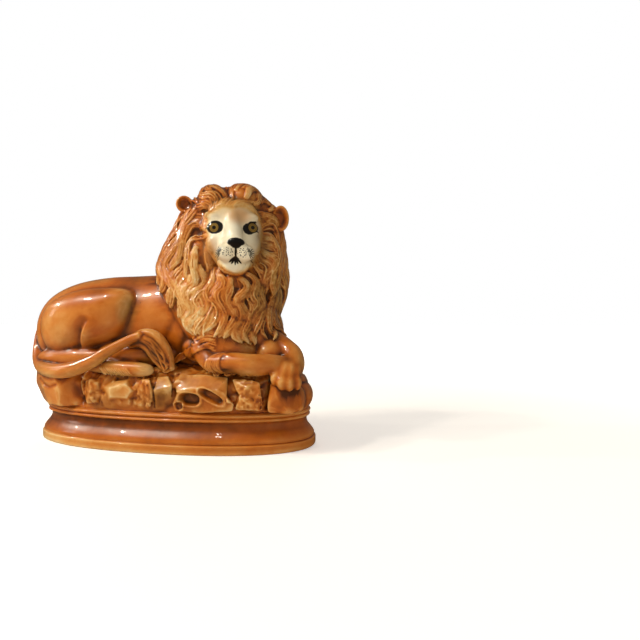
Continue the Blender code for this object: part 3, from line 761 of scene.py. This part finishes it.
def loose_hair(clay):
    """The curls, the tuft on the elbow, the fringe under the hock and the belly hair."""
    chance = np.random.default_rng(5)
    for index in range(CURLS):
        reach = chance.uniform(0.75, 1.1)
        laid(clay, [(62 + index % 3 + x * reach, 108.5 - index * 2.3 + z * chance.uniform(0.8, 1.3), radius)
                    for x, z, radius in CURL], 0.5, -44.0)
    for index in range(ELBOW_TUFT):
        fan = index * 1.05 + chance.uniform(-0.3, 0.3)
        fall = chance.uniform(-2.5, 1.5)
        root = chance.uniform(-5.0, 4.0)
        laid(clay, ((74 + root + fan * 0.5, 92 - fan * 0.3, 0.2), (66 + fan * 0.7, 89.5, 0.7), (59.5 + fan, 84, 0.85),
                    (58 + fan * 1.15, 79 + fall * 0.4, 0.8), (60 + fan * 1.3, 74 + fall, 0.35)),
             0.0 + 0.35 * (index % 2), -50.0)
    for index in range(HOCK_STROKES):
        x = -46 + index * 2.5 + chance.uniform(-0.3, 0.3)
        long = chance.uniform(-1.2, 1.2)
        laid(clay, ((x - 2.4, 76, 0.45), (x, 73.8, 0.7), (x + 1.8, 71.4, 0.65), (x + 3.4, 68.6 + long, 0.35)),
             0.2, -54.0)
    for index in range(BELLY_STROKES):
        x = 18 + index * 2.5
        z = 80 + index * 1.1 + chance.uniform(-0.8, 0.8)
        laid(clay, ((x + 5, z + 8, 0.6), (x + 1, z + 2.5, 0.9), (x - 3, z - 3, 0.5)), 0.4, -38.0)
    for x in (66, 69, 77, 79.5, 84, 91, 93, 99):
        rise = chance.uniform(-0.8, 0.8)
        laid(clay, ((x - 1.6, 73 + rise, 0.4), (x, 71.4 + rise, 0.7), (x + 1.8, 72 + rise, 0.4)), 0.2, -51.0)


# The whole figure
# All of this is one moulded body: the forms are melted together, the arrises softened by the
# thick glaze, and the moulded plinth joined underneath.
FINE_VOXEL = mm(0.72)
FINE_TRIANGLES = 172000

traces = []
figure = Clay()
figure.take(base)
rocks(figure)
tail(figure)
ears(figure)
mane(figure, traces)
loose_hair(figure)
lion = bpy.data.objects.new("glazed_lion", fused(figure, FINE_VOXEL, 1, 0.35))
bpy.context.scene.collection.objects.link(lion)
foot = plinth.item("plinth_form")


def settle(made):
    """Bake the object's modifiers into its own mesh."""
    view = bpy.context.evaluated_depsgraph_get()
    view.update()
    mesh = bpy.data.meshes.new_from_object(made.evaluated_get(view), depsgraph=view)
    made.modifiers.clear()
    made.data = mesh


thin = lion.modifiers.new("Thin", "DECIMATE")
thin.ratio = FINE_TRIANGLES / (2 * len(lion.data.polygons))
join = lion.modifiers.new("Join", "BOOLEAN")
join.operation = "UNION"
join.solver = "EXACT"
join.object = foot
settle(lion)
bpy.data.objects.remove(foot)
lion.data.polygons.foreach_set("use_smooth", [True] * len(lion.data.polygons))


# The colour of the glaze
# The maker brushed and sprayed an iron-brown wash over cream earthenware and dipped it in clear
# lead glaze. The wash thins to cream on every ridge and pools dark in every groove; where the
# glaze is thick it turns to khaki. Painted light is laid into the wash and the khaki as well:
# painted shade on the thigh's top and underside, low on the trunk, on the mane's right side and on
# surfaces facing right, painted sheen on the thigh and high on the trunk, painted highlight on the
# plinth's beads, and painted reflection on surfaces facing up or down.
def smoothed(values, edges, counts, rounds):
    """Values averaged with their neighbours over the mesh, again and again."""
    size = len(values)
    for _ in range(rounds):
        total = np.column_stack([
            np.bincount(edges[:, 0], values[edges[:, 1], axis], size)
            + np.bincount(edges[:, 1], values[edges[:, 0], axis], size)
            for axis in range(values.shape[1])])
        values = 0.5 * values + 0.5 * total / counts[:, None]
    return values


def store(name, values, kind="FLOAT", key="value"):
    """Keep values on the lion's points for the glaze to read."""
    layer = lion.data.attributes.new(name, kind, "POINT")
    layer.data.foreach_set(key, np.ascontiguousarray(values, dtype=np.float32).ravel())


places = read(lion.data.vertices, "co", 3)
normals = read(lion.data.vertices, "normal", 3)
edges = read(lion.data.edges, "vertices", 2, int)
counts = np.maximum(np.bincount(edges.ravel(), minlength=len(places)), 1)
fine = ((places - smoothed(places, edges, counts, 5)) * normals).sum(axis=1)
broad = ((places - smoothed(places, edges, counts, 50)) * normals).sum(axis=1)
side, up, front = head_place(places).T
x, y, z = places.T * 1000

tree = KDTree(len(traces))
for index, trace in enumerate(traces):
    tree.insert(trace[0], index)
tree.balance()
tones, hairy, comb = np.zeros((3, len(places)))
for index in np.flatnonzero((z > 88) & (x > -30)):
    _, nearest, gap = tree.find(places[index])
    spot, tone, across, _ = traces[nearest]
    tones[index] = tone
    comb[index] = abs((places[index] - spot) @ across) * 1000
    hairy[index] = 1.0 - fade(mm(3.0), mm(5.5), gap)


def zone(u, v, w, centre, radii):
    """A soft egg-shaped zone, 1 in its middle and 0 beyond its edge."""
    gap = np.sqrt(((u - centre[0]) / radii[0]) ** 2 + ((v - centre[1]) / radii[1]) ** 2
                  + ((w - centre[2]) / radii[2]) ** 2)
    return 1.0 - fade(0.35, 1.0, gap)


# How deep the wash lies, painted shade and painted sheen included: 0 bare cream, 1 full brown
on_face = (1.0 - fade(0.82 + 0.13 * fade(-27, -35, up), 1.12, face_share(side, up))) * fade(-26.0, -18.0, front)
on_rocks = fade(36.5, 39.0, z) * fade(80, 66, z) * (1.0 - hairy)
wash_and_painted_light = 0.77 + hairy * (0.14 * tones - 0.12)
for right, high in ((-46, 27), (48, 17)):
    wash_and_painted_light -= 0.12 * zone(side, up, front, (right, high, -33), (12, 15, 12))
# Painted sheen: the middle and lower thigh made paler
wash_and_painted_light -= 0.10 * zone(x, y, z, (-96, -50, 112), (34, 60, 34))
# Painted shade: the top of the thigh made darker
wash_and_painted_light += 0.14 * zone(x, y, z, (-80, -50, 144), (54, 44, 18))
wash_and_painted_light += hairy * 0.07 * fade(12, 24, up)
wash_and_painted_light -= 0.12 * zone(x, y, z, (-30, -52, 76), (38, 20, 13))
wash_and_painted_light -= hairy * 0.25 * zone(x, y, z, (34, -48, 140), (30, 42, 52))
wash_and_painted_light -= hairy * 0.04 * zone(x, y, z, (20, -30, 190), (40, 50, 50))
wash_and_painted_light -= hairy * 0.16 * zone(x, y, z, (60, -62, 118), (34, 40, 24))
# Painted shade: the mane's far right side a little darker
wash_and_painted_light += hairy * 0.03 * zone(x, y, z, (122, -40, 150), (40, 70, 90))
wash_and_painted_light += hairy * 0.10 * zone(x, y, z, (84, -70, 152), (16, 40, 30))
# Painted sheen: a paler band high on the bare trunk under the mane
wash_and_painted_light -= (1 - hairy) * 0.10 * zone(x, y, z, (4, -45, 140), (55, 50, 40))
# Painted shade: darker low on the trunk towards the belly
wash_and_painted_light += (1 - hairy) * 0.10 * zone(x, y, z, (6, -40, 96), (60, 50, 24))
wash_and_painted_light += 0.14 * zone(x, y, z, (90, -50, 80), (34, 20, 16))
# Painted shade: darker along the underside of the thigh
wash_and_painted_light += 0.10 * zone(x, y, z, (-110, -50, 90), (40, 50, 16))
wash_and_painted_light -= on_rocks * 0.14 * fade(112, 98, x) * fade(-84, -74, x)
wash_and_painted_light += on_rocks * 0.18 * fade(104, 126, x)
wash_and_painted_light += 0.22 * on_rocks * zone(x, y, z, (16, -57, 50), (15, 14, 18))
wash_and_painted_light -= 0.26 * zone(x, y, z, (128, -44, 72), (18, 18, 20))
wash_and_painted_light -= 0.10 * on_rocks * zone(x, y, z, (-30, -56, 55), (24, 12, 14))
wash_and_painted_light -= 0.10 * on_rocks * fade(-84, -100, x)
wash_and_painted_light = np.where(z < 9.5, 0.72 + 0.17 * x / 140.0, wash_and_painted_light)
# Painted highlight: the two beads made paler
wash_and_painted_light -= 0.14 * fade(27, 29, z) * fade(38, 36.5, z)
wash_and_painted_light += (0.05 - 0.10 * x / 140.0) * fade(9.5, 12, z) * fade(36, 33, z)
# Painted highlight: a pale line along the band's upper edge
wash_and_painted_light -= 0.14 * np.exp(-((z - 8.4) / 1.1) ** 2)
wash_and_painted_light = wash_and_painted_light * (1.0 - on_face)
store("wash_and_painted_light", wash_and_painted_light)
# Where the glaze is thick and khaki rather than amber, with painted light laid in: painted shade on
# surfaces facing right, on the thigh's right end and on the mane's right side, and painted
# reflection on surfaces facing up or down
# Painted shade: surfaces facing right turn khaki
khaki = 0.5 * fade(0.45, 0.95, normals[:, 0]) * fade(40, 60, z)
khaki += 0.28 * on_rocks * fade(112, 98, x) * fade(-84, -74, x)
# Painted shade: the right end of the thigh turns khaki
khaki += 0.75 * zone(x, y, z, (-32, -45, 126), (12, 40, 30))
# Painted reflection: surfaces facing down turn khaki
khaki += 0.5 * fade(-0.1, -0.8, normals[:, 2]) * fade(60, 66, z) * fade(120, 100, z)
# The second term is painted shade on the mane's right side
khaki += 0.22 * hairy * fade(22, 8, up) + 0.20 * hairy * zone(x, y, z, (130, -30, 140), (50, 80, 80))
# Painted reflection: surfaces facing up turn khaki
khaki += 0.2 * fade(0.6, 1.0, normals[:, 2]) * fade(60, 80, z)
khaki += 0.5 * zone(x, y, z, (6, -50, 88), (26, 20, 26)) + 0.2 * zone(x, y, z, (-30, -52, 76), (38, 20, 13))
khaki += 0.4 * on_rocks * zone(x, y, z, (16, -57, 52), (15, 14, 20))
store("khaki", khaki)
relief = fine / mm(0.30) * (0.55 - 0.25 * zone(side, up, front, (-46, 27, -33), (12, 14, 12))) + broad / mm(2.0) * (0.15 + 0.40 * hairy)
store("relief", np.clip(relief, -1.0, 1.0) * (1.0 - 0.6 * on_face))
store("hairy", hairy * (1.0 - on_face))
store("comb", comb)
store("face_place", np.column_stack((side, up, front)), "FLOAT_VECTOR", "vector")


def linear(code):
    """A hex colour as linear red, green, blue and full cover."""
    parts = np.array([int(code[start:start + 2], 16) for start in (1, 3, 5)]) / 255.0
    made = np.where(parts <= 0.04045, parts / 12.92, ((parts + 0.055) / 1.055) ** 2.4)
    return tuple(made) + (1.0,)


# Lead-glazed earthenware: an iron wash under a thick, clear and slightly uneven lead glaze. It
# gives the eye deep ambers with a wet, faintly rippled shine and small hard lights.
glaze = bpy.data.materials.new("lead_glazed_earthenware")
glaze.use_nodes = True
glaze.node_tree.nodes.clear()


def add(kind, links=(), out=0, stops=(), tree=None, **settings):
    """Add a node, fill its settings, inputs and colour stops, and give one output, or the node."""
    tree = tree or glaze.node_tree
    made = tree.nodes.new("ShaderNode" + kind)
    for name, value in settings.items():
        setattr(made, name, value)
    for key, value in dict(links).items():
        if isinstance(value, bpy.types.NodeSocket):
            tree.links.new(value, made.inputs[key])
        else:
            made.inputs[key].default_value = value
    for index, (place, code) in enumerate(stops):
        band = made.color_ramp.elements
        stop = band[index] if index < 2 else band.new(place)
        stop.position = place
        stop.color = linear(code)
    return made if out is None else made.outputs[out]


spot = add("TexCoord", out="Object")
wash_and_painted_light_amount = add("Attribute", out="Fac", attribute_name="wash_and_painted_light")
khaki_amount = add("Attribute", out="Fac", attribute_name="khaki")
relief_amount = add("Attribute", out="Fac", attribute_name="relief")
hairy_amount = add("Attribute", out="Fac", attribute_name="hairy")
comb_amount = add("Attribute", out="Fac", attribute_name="comb")

# Fine combed lines 1.7 mm apart run along every lock
COMB_SPACING = 1.7
lines = add("Math", {0: comb_amount, 1: 2 * np.pi / COMB_SPACING}, operation="MULTIPLY")
lines = add("Math", {0: lines}, operation="COSINE")
lines = add("Math", {0: lines, 1: hairy_amount}, operation="MULTIPLY")

# The sprayed wash varies over 40 mm, and its brush mottling over 6 mm
cloud = add("TexNoise", {"Vector": spot, "Scale": 25.0, "Detail": 3.0, "Roughness": 0.55})
mottle = add("TexNoise", {"Vector": spot, "Scale": 160.0, "Detail": 4.0, "Roughness": 0.6})
# The wash attribute read here also carries painted shade, sheen and highlight
depth = add("Math", {0: cloud, 1: 0.36, 2: wash_and_painted_light_amount}, operation="MULTIPLY_ADD")
depth = add("Math", {0: mottle, 1: 0.14, 2: depth}, operation="MULTIPLY_ADD")
depth = add("Math", {0: lines, 1: -0.05, 2: depth}, operation="MULTIPLY_ADD")
pooled = add("Math", {0: wash_and_painted_light_amount, 1: 0.46, 2: 0.05}, operation="MULTIPLY_ADD")
pooled = add("Math", {0: relief_amount, 1: pooled}, operation="MULTIPLY")
depth = add("Math", {0: depth, 1: pooled}, operation="SUBTRACT")
depth = add("Math", {0: depth, 1: 0.25}, operation="SUBTRACT")
amber = add("ValToRGB", {0: depth}, stops=(
    (0.0, "#FAF3DA"), (1.0, "#522503"), (0.16, "#F3DAA6"), (0.34, "#E4AB62"), (0.50, "#D48436"),
    (0.66, "#C06618"), (0.82, "#994A08")))
olive = add("ValToRGB", {0: depth}, stops=(
    (0.0, "#F3EBCB"), (1.0, "#33200A"), (0.30, "#DDBD80"), (0.50, "#B98E4C"), (0.68, "#956829"),
    (0.84, "#6B4617")))
patches = add("TexNoise", {"Vector": spot, "Scale": 38.0, "Detail": 2.0, "Roughness": 0.5})
# The khaki attribute read here also carries painted shade and painted reflection
thick = add("Math", {0: patches, 1: 1.3, 2: khaki_amount}, operation="MULTIPLY_ADD")
thick = add("Math", {0: thick, 1: 0.68}, operation="SUBTRACT", use_clamp=True)
ware = add("Mix", {0: thick, 6: amber, 7: olive}, 2, data_type="RGBA")

# A few dark iron specks, under a millimetre wide
specks = add("TexVoronoi", {"Vector": spot, "Scale": 62.0, "Randomness": 1.0}, "Distance")
specks = add("MapRange", {"Value": specks, "From Min": 0.018, "From Max": 0.045, "To Min": 0.7, "To Max": 0.0})
ware = add("Mix", {0: specks, 6: ware, 7: linear("#3A1806")}, 2, data_type="RGBA")

# The painted face, in the face's own millimetres, with the brush's small wobble
on_front = add("Attribute", out="Vector", attribute_name="face_place")
wobble = add("TexNoise", {"Vector": on_front, "Scale": 0.5, "Detail": 2.0}, "Color")
wobble = add("VectorMath", {0: wobble, 1: (0.5, 0.5, 0.5)}, operation="SUBTRACT")
brush = add("VectorMath", {0: wobble, 1: (0.9, 0.9, 0.0), 2: on_front}, operation="MULTIPLY_ADD")
steady = add("VectorMath", {0: wobble, 1: (0.35, 0.35, 0.0), 2: on_front}, operation="MULTIPLY_ADD")
FAR = 100000.0


def egg(right, up, half_side, half_tall, tilt=0.0, edge=0.3, hand=brush):
    """How much of a painted egg shape covers each point; the edge is soft over edge millimetres."""
    links = {"Vector": hand, "Location": (right, up, 0.0), "Rotation": (0.0, 0.0, np.radians(tilt)),
             "Scale": (half_side, half_tall, FAR)}
    flat = add("Mapping", links, vector_type="TEXTURE")
    gap = add("VectorMath", {0: flat}, "Value", operation="LENGTH")
    soft = edge / min(half_side, half_tall)
    links = {"Value": gap, "From Min": 1.0 - soft, "From Max": 1.0 + soft, "To Min": 1.0, "To Max": 0.0}
    return add("MapRange", links, interpolation_type="SMOOTHSTEP")


def together(masks):
    """The greatest of several masks."""
    total = masks[0]
    for mask in masks[1:]:
        total = add("Math", {0: total, 1: mask}, operation="MAXIMUM")
    return total


def stroke(start, end, width):
    """A painted stroke between two points of the face."""
    (right, up), (right_end, up_end) = start, end
    length = np.hypot(right_end - right, up_end - up)
    tilt = np.degrees(np.arctan2(up_end - up, right_end - right))
    return egg((right + right_end) / 2, (up + up_end) / 2, length / 2 + width * 0.4, width / 2, tilt, 0.15)


def paint(cover, colour):
    """Lay a colour over the ware where a mask covers it, on the front of the head only."""
    cover = add("Math", {0: cover, 1: facing}, operation="MULTIPLY")
    return add("Mix", {0: cover, 6: ware, 7: linear(colour)}, 2, data_type="RGBA")


before_eyes = add("SeparateXYZ", {0: on_front}, 2)
facing = add("MapRange", {"Value": before_eyes, "From Min": -21.0, "From Max": -17.0})
brow = egg(3.0, 17.0, 25.0, 11.0, 0, 5.5)
ware = paint(add("Math", {0: brow, 1: 0.50}, operation="MULTIPLY"), "#C99A50")
patch = egg(6.4, 9.5, 9.0, 8.0, 0, 5.0)
ware = paint(add("Math", {0: patch, 1: 0.60}, operation="MULTIPLY"), "#D3934B")
# Painted shade down the face's right side
right_cheek_shade = egg(27.0, -12.0, 8.0, 20.0, 0, 5.0)
ware = paint(add("Math", {0: right_cheek_shade, 1: 0.62}, operation="MULTIPLY"), "#80612F")
jaw = egg(-20.5, -21.0, 6.5, 10.5, 0, 5.0)
ware = paint(add("Math", {0: jaw, 1: 0.75}, operation="MULTIPLY"), "#C98B4C")
# Painted shade in the hollows beside the bridge of the nose
for right, up in ((-7.5, -3.0), (9.0, -3.0)):
    hollow_shade = egg(right, up, 3.5, 7.5, 0, 3.2)
    ware = paint(add("Math", {0: hollow_shade, 1: 0.16}, operation="MULTIPLY"), "#9A8050")

# A soft shadow round the whisker pads
pads = together([egg(-5.0, -25.4, 10.6, 9.2, -8, 1.6), egg(10.8, -25.6, 10.6, 9.2, 8, 1.6)])
bare = together([egg(-4.6, -24.8, 8.2, 7.0, -8, 1.8), egg(10.4, -25.0, 8.2, 7.0, 8, 1.8)])
rings = add("Math", {0: pads, 1: bare}, operation="SUBTRACT", use_clamp=True)
ware = paint(add("Math", {0: rings, 1: 0.34}, operation="MULTIPLY"), "#A08048")

# Black eyes with golden irises ringed and centred in black
LEFT_IRIS, RIGHT_IRIS = (-16.1, -1.0), (18.7, 0.2)
black = [egg(-15.3, -0.8, 7.4, 6.1), egg(15.3, -1.3, 5.9, 5.3, 20), egg(18.4, 1.3, 4.6, 4.8, 30),
         stroke((14.6, 3.0), (21.4, 5.8), 2.2), stroke((-23.8, -1.2), (-18.0, -0.6), 1.4),
         stroke((20.0, -2.6), (24.2, -3.2), 1.3)]
gold = []
for right, up in (LEFT_IRIS, RIGHT_IRIS):
    black.append(egg(right, up, 5.0, 5.0, hand=steady))
    ring = egg(right, up, 4.0, 4.0, 0, 0.25, steady)
    line = add("Math", {0: egg(right, up, 3.2, 3.2, 0, 0.2, steady), 1: egg(right, up, 2.8, 2.8, 0, 0.2, steady)},
               operation="SUBTRACT")
    pupil = egg(right, up, 1.8, 1.8, 0, 0.2, steady)
    hidden = add("Math", {0: line, 1: 0.55, 2: pupil}, operation="MULTIPLY_ADD")
    hidden = add("Math", {0: 1.0, 1: hidden}, operation="SUBTRACT")
    gold.append(add("Math", {0: ring, 1: hidden}, operation="MULTIPLY"))

# The nose, the line below it and the ragged mouth
black += [egg(3.4, -16.8, 7.8, 3.8), egg(3.4, -18.4, 5.2, 3.8), stroke((3.4, -20.0), (3.2, -29.5), 2.1)]
for right, up in ((-2.2, -33.2), (-0.4, -34.6), (2.6, -35.4), (5.0, -34.4), (7.8, -34.2)):
    black.append(stroke((3.1, -28.8), (right, up), 1.9))

# Whisker dots on each pad, and a fan of short hairs outside it
cells = add("TexVoronoi", {"Vector": on_front, "Scale": 0.52, "Randomness": 0.8}, "Distance",
            voronoi_dimensions="2D")
dots = add("MapRange", {"Value": cells, "From Min": 0.18, "From Max": 0.30, "To Min": 1.0, "To Max": 0.0})
for right, up in ((-3.8, -25.6), (9.6, -25.8)):
    spots = add("Math", {0: dots, 1: egg(right, up, 4.9, 4.4, 0, 0.3)}, operation="MULTIPLY")
    black.append(spots)
for right, up, first, last in ((-9.4, -26.0, 92, 232), (14.4, -26.4, -62, 98)):
    for index, angle in enumerate(np.radians(np.linspace(first, last, 8))):
        reach = (5.0, 5.8, 4.6, 5.4)[index % 4]
        black.append(stroke((right + 1.2 * np.cos(angle), up + 1.2 * np.sin(angle)),
                            (right + reach * np.cos(angle), up + reach * np.sin(angle)), 0.85))
ware = paint(together(black), "#0A0807")
ware = paint(together(gold), "#8C6E2A")

ripple = add("TexNoise", {"Vector": spot, "Scale": 90.0, "Detail": 1.5})
height = add("Math", {0: lines, 1: 0.10, 2: ripple}, operation="MULTIPLY_ADD")
bump = add("Bump", {"Height": height, "Strength": 0.35, "Distance": mm(0.6)})
coat_bump = add("Bump", {"Height": ripple, "Strength": 0.10, "Distance": mm(0.6)})
shader = add("BsdfPrincipled", {"Base Color": ware, "Roughness": 0.30, "IOR": 1.5, "Normal": bump,
                                "Coat Weight": 0.7, "Coat Roughness": 0.03, "Coat IOR": 1.5,
                                "Coat Normal": coat_bump})
add("OutputMaterial", {"Surface": shader}, None)
lion.data.materials.clear()
lion.data.materials.append(glaze)
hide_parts("lion")
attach(lion, "root")


# The studio
# A pale plain table that brightens into a white room, with a soft light high on the left, a weak
# one on the right, and a rail of six small bulbs whose points the glaze mirrors.
def lamp(name, place, target, size, watts, tint, mirrored=True):
    """A soft rectangular light turned to a target, mirrored in the glaze or screened from it."""
    light = bpy.data.lights.new(name, "AREA")
    light.shape = "RECTANGLE"
    light.size, light.size_y = size
    light.energy = watts
    light.color = linear(tint)[:3]
    made = bpy.data.objects.new(name, light)
    made.location = place
    made.visible_glossy = mirrored
    made.rotation_euler = (Vector(target) - Vector(place)).to_track_quat("-Z", "Y").to_euler()
    bpy.context.scene.collection.objects.link(made)


floor_mesh = bpy.data.meshes.new("floor")
floor_mesh.from_pydata([(-9, -9, 0), (9, -9, 0), (9, 9, 0), (-9, 9, 0)], [], [(0, 1, 2, 3)])
floor = bpy.data.objects.new("floor", floor_mesh)
bpy.context.scene.collection.objects.link(floor)
# Matt white card: no shine, and a little light of its own that grows away from the pot
card = bpy.data.materials.new("matt_white_card")
card.use_nodes = True
card_tree = card.node_tree
reach = add("VectorMath", {0: add("TexCoord", out="Object", tree=card_tree)}, "Value", tree=card_tree,
            operation="LENGTH")
glow = add("MapRange", {"Value": reach, "From Min": 0.25, "From Max": 1.3, "To Min": 0.42, "To Max": 1.0},
           tree=card_tree, interpolation_type="SMOOTHSTEP")
rays = add("LightPath", out=None, tree=card_tree)
glow = add("MapRange", {"Value": rays.outputs["Is Camera Ray"], "To Min": 0.0, "To Max": glow}, tree=card_tree)
white = add("Mix", {0: rays.outputs["Is Glossy Ray"], 6: linear("#F4F0EA"), 7: linear("#6E5A48")}, 2,
            tree=card_tree, data_type="RGBA")
card_shader = card_tree.nodes["Principled BSDF"].inputs
card_tree.links.new(white, card_shader["Base Color"])
card_shader["Roughness"].default_value = 0.9
card_shader["Emission Color"].default_value = linear("#FFFFFF")
card_tree.links.new(glow, card_shader["Emission Strength"])
floor_mesh.materials.append(card)

lamp("window", (-1.0, -0.9, 1.15), (0, 0, 0.12), (0.6, 0.6), 11.5, "#FFF6E8", False)
lamp("sheen", (-1.2, -0.42, 0.42), (0, 0, 0.12), (0.20, 0.26), 0.45, "#FFF1E4")
lamp("fill", (0.9, -1.0, 0.35), (0, 0, 0.12), (0.5, 0.7), 2.0, "#FFF3E2", False)
lamp("back", (-0.3, 1.1, 1.0), (0, 0, 0.15), (1.0, 0.4), 5, "#FFF8EE", False)
# Four pairs of bulbs, each placed where the plinth's hollow mirrors it into the photograph
BULBS = ((-1.236, -0.253, 0.778), (-0.878, -0.521, 1.024), (-0.608, -0.603, 1.142), (-0.126, -0.765, 1.204))
for index, (x, y, z) in enumerate(BULBS):
    for half in (-0.02, 0.02):
        lamp("bulb_%d_%s" % (index, "ab"[half > 0]), (x + half, y - half * 0.6, z), (0, -0.04, 0.03),
             (0.02, 0.05), 1.5 if index < 3 else 0.15, "#FFF8E8")

world = bpy.data.worlds.new("white room")
bpy.context.scene.world = world
world.use_nodes = True
room = world.node_tree
rays = add("LightPath", out=None, tree=room)
strength = add("MapRange", {"Value": rays.outputs["Is Glossy Ray"], "To Min": 0.30, "To Max": 0.10}, tree=room)
strength = add("Math", {0: strength, 1: rays.outputs["Is Camera Ray"]}, tree=room, operation="MAXIMUM")
tint = add("Mix", {0: rays.outputs["Is Camera Ray"], 6: linear("#FFF2E0"), 7: linear("#FFFFFF")}, 2, tree=room,
           data_type="RGBA")
room.links.new(strength, room.nodes["Background"].inputs["Strength"])
room.links.new(tint, room.nodes["Background"].inputs["Color"])

eye = bpy.data.cameras.new("camera")
eye.sensor_width = 36.0
eye.lens = 25.3125
camera = bpy.data.objects.new("camera", eye)
camera.location = (0.2378, -0.4248, 0.1203)
camera.rotation_euler = Vector((-0.1994, 0.9799, 0.0)).to_track_quat("-Z", "Y").to_euler()
bpy.context.scene.collection.objects.link(camera)
bpy.context.scene.camera = camera
bpy.context.scene.view_settings.view_transform = "Standard"
